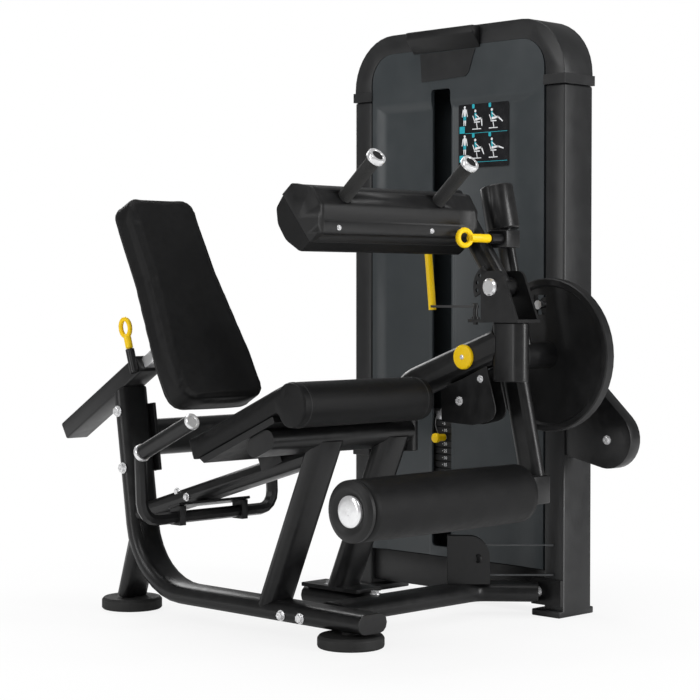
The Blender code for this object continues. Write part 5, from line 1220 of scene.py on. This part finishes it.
def limb(first, second, wide, narrow=None, steps=5):
    """Corners of a rounded bar between two points, as used for a figure's limbs."""
    narrow = narrow or wide
    along = Vector((second[0] - first[0], second[1] - first[1]))
    angle = math.atan2(along.y, along.x)
    corners = []
    for (cy, cz), radius, begin in ((first, wide / 2, angle + math.pi / 2),
        (second, narrow / 2, angle - math.pi / 2)):
        for i in range(steps + 1):
            step = begin + math.pi * i / steps
            corners.append((cy + radius * math.cos(step), cz + radius * math.sin(step)))
    return corners


placard_gloss = coated("placard_gloss", (0.005, 0.0055, 0.007), (0.010, 0.010, 0.012), 0.16, 0.1, 2000, 0.1,
    0.00001)
white_ink = coated("white_ink", (0.86, 0.88, 0.90), (0.93, 0.94, 0.95), 0.34, 0.1, 2600, 0.2, 0.00001,
    haze_size=40.0)
blue_ink = coated("pale_blue_ink", (0.010, 0.42, 0.52), (0.02, 0.50, 0.60), 0.32, 0.1, 2600, 0.2, 0.00001,
    haze_size=40.0)
sign_low, sign_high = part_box("placard")
sign_front = panel_low.x + 0.0040
flat_print(
    "placard_edge",
        [round_box(sign_low.y - 0.002, sign_high.y + 0.002, sign_low.z - 0.002, sign_high.z + 0.002, 0.005)],
    column_coat, sign_front + 0.0008, frame_body, 0.0010,
)
sign = flat_print(
    "instruction_placard", [round_box(sign_low.y, sign_high.y, sign_low.z, sign_high.z, 0.004)],
    placard_gloss, sign_front, frame_body, 0.0012,
)
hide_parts("placard")
whites, blues = [], []
sign_left, sign_top = sign_high.y, sign_high.z
for row in range(2):
    base = sign_top - 0.012 - row * 0.080
    y = sign_left - 0.022
    whites.append(round_box(y - 0.0035, y + 0.0035, base - 0.008, base - 0.001, 0.0034))
    whites.append(limb((y, base - 0.013), (y, base - 0.026), 0.011, 0.008))
    for hand in (-1, 1):
        whites.append(limb((y + hand * 0.006, base - 0.012), (y + hand * 0.0095, base - 0.030), 0.0032,
            0.0022))
        whites.append(limb((y + hand * 0.0026, base - 0.042), (y + hand * 0.0030, base - 0.054), 0.0040,
            0.0026))
        blues.append(limb((y + hand * 0.0026, base - 0.028), (y + hand * 0.0026, base - 0.040), 0.0046,
            0.0040))
    blues.append(round_box(sign_left - 0.022, sign_left - 0.003, base - 0.076, base - 0.057, 0.001))
    for column in range(2):
        c = sign_left - 0.064 - column * 0.060
        blues.append(round_box(c + 0.006, c + 0.015, base - 0.009, base + 0.003, 0.0025))
        bend = 0.35 * row + (0.9 if column else 0.1)
        whites.append(round_box(c - 0.0005, c + 0.0070, base - 0.020, base - 0.0125, 0.0037))
        blues.append(limb((c + 0.003, base - 0.024), (c + 0.001, base - 0.038), 0.0070, 0.0060))
        hip, knee = (c + 0.001, base - 0.040), (c - 0.019, base - 0.037)
        foot = (knee[0] - 0.020 * math.sin(bend), knee[1] - 0.020 * math.cos(bend))
        whites.append(limb(hip, knee, 0.0070, 0.0050))
        whites.append(limb(knee, foot, 0.0048, 0.0034))
        whites.append(limb((c + 0.002, base - 0.026), (c - 0.009, base - 0.034), 0.0030, 0.0024))
        whites.append(limb((c + 0.012, base - 0.030), (c + 0.005, base - 0.046), 0.0028, 0.0028))
        whites.append(limb((c + 0.006, base - 0.047), (c - 0.012, base - 0.047), 0.0034, 0.0034))
        whites.append(limb((c - 0.001, base - 0.049), (c - 0.004, base - 0.064), 0.0026, 0.0026))
        whites.append(limb((c + 0.013, base - 0.066), (c - 0.017, base - 0.066), 0.0024, 0.0024))
    blues.append([(sign_low.y + 0.004, base - 0.0775), (sign_left - 0.024, base - 0.0775),
        (sign_left - 0.024, base - 0.0763), (sign_low.y + 0.004, base - 0.0763)])
flat_print("placard_figures", whites, white_ink, sign_front - 0.0007, frame_body, 0.0001)
flat_print("placard_blocks", blues, blue_ink, sign_front - 0.00065, frame_body, 0.0001)
plate_middle = at(0, 0.030, 0).y
flat_print(
    "blank_name_plate",
    [
        [
            (plate_middle + 0.100, 1.536),
            (plate_middle - 0.106, 1.536),
            (plate_middle - 0.082, 1.472),
            (plate_middle - 0.070, 1.462),
            (plate_middle + 0.094, 1.457),
        ]
    ],
    column_coat, panel_low.x - 0.0050, frame_body, 0.0012,
)

# ---------------------------------------------------------------- weight stack
# Cast and painted plates on two chromed rods, with a bored selector rod through their middle and a
# head plate. White labels number the plates, and a cord ties the yellow pin to the head plate.
plate_paint = coated(
    "plate_paint", (0.0050, 0.0050, 0.0055), (0.0100, 0.0100, 0.0105), 0.45, 0.12, 500, 0.4, 0.00012,
        metal=0.2, scuff=0.4
)
for node in ("resting_plates", "lifted_plates"):
    carried(node, "stack_" + node, plate_paint, soft=0.0008)
for node in ("front_guide_rod", "rear_guide_rod"):
    carried(node, "chromed_" + node, chrome, soft=0.0008)
carried("selector_rod", "turned_selector_rod", turned_steel, soft=0.0008)
plate_pitch = 0.0195
for node in ("resting_plates", "lifted_plates"):
    stack_low, stack_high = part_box(node)
    labels = []
    body = frame["nodes"][node]["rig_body"]
    count = int(round((stack_high.z - 0.2145) / plate_pitch)) if node == "resting_plates" else 3
    for i in range(count):
        middle = stack_high.z - 0.0092 - i * plate_pitch
        y = at(0, 0.0520, 0).y
        labels.append([(y + 0.0105, middle - 0.0008), (y + 0.0075, middle - 0.0008),
            (y + 0.0075, middle + 0.0008), (y + 0.0105, middle + 0.0008)])
        number = (i + 4 if node == "resting_plates" else i + 1) * 5
        text = bpy.data.curves.new("number", "FONT")
        text.body = str(number)
        text.size = 0.0125
        text.resolution_u = 2
        holder = bpy.data.objects.new("number", text)
        bpy.context.scene.collection.objects.link(holder)
        bpy.context.view_layer.update()
        flat = bpy.data.meshes.new_from_object(holder.evaluated_get(bpy.context.evaluated_depsgraph_get()))
        for polygon in flat.polygons:
            labels.append([(y + 0.0050 - flat.vertices[k].co.x,
                middle - 0.0044 + flat.vertices[k].co.y) for k in polygon.vertices])
        bpy.data.objects.remove(holder)
    flat_print("labels_" + node, labels, white_ink, stack_low.x - 0.0003, body, 0.0001)
pin = carried("selector_pin", "selector_pin_knob", yellow, soft=0.0010, angle=50)
pin_body = frame["nodes"]["selector_pin"]["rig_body"]
pin_low, pin_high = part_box("selector_pin")
pin.data.materials.append(turned_steel)
for polygon in pin.data.polygons:
    middle = sum((pin.data.vertices[i].co for i in polygon.vertices), Vector()) / len(polygon.vertices)
    spread = math.hypot(middle.y - (pin_low.y + pin_high.y) / 2, middle.z - (pin_low.z + pin_high.z) / 2)
    polygon.material_index = 1 if middle.x > pin_low.x + 0.036 and spread < 0.0085 else 0
pin_top = Vector((pin_low.x + 0.016, (pin_low.y + pin_high.y) / 2, pin_high.z - 0.0005))
cord_steps = 24
cord_line = []
for i in range(cord_steps + 1):
    share = i / cord_steps
    bulge = math.sin(math.pi * share)
    cord_line.append(
        Vector(
            (
                pin_top.x + 0.026 * eased(share) - 0.010 * bulge,
                pin_top.y + 0.016 * bulge - 0.016 * share,
                pin_top.z + 0.092 * share,
            )
        )
    )
cord_curve = bpy.data.curves.new("pin_cord", "CURVE")
cord_curve.dimensions = "3D"
cord_curve.bevel_depth = 0.0012
cord_curve.bevel_resolution = 2
cord_spline = cord_curve.splines.new("POLY")
cord_spline.points.add(len(cord_line) - 1)
for spline_point, place in zip(cord_spline.points, cord_line):
    spline_point.co = (*place, 1)
cord_finish = coated("cord_jacket", (0.10, 0.10, 0.10), (0.20, 0.20, 0.20), 0.4, 0.1, 2600, 0.6, 0.00003,
    haze_size=60.0)
cord_curve.materials.append(cord_finish)
pin_cord = bpy.data.objects.new("pin_cord", cord_curve)
bpy.context.scene.collection.objects.link(pin_cord)
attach(pin_cord, pin_body)

# ---------------------------------------------------------------- stored patterns removed
for pattern in (bolt, stitch):
    bpy.data.objects.remove(pattern)
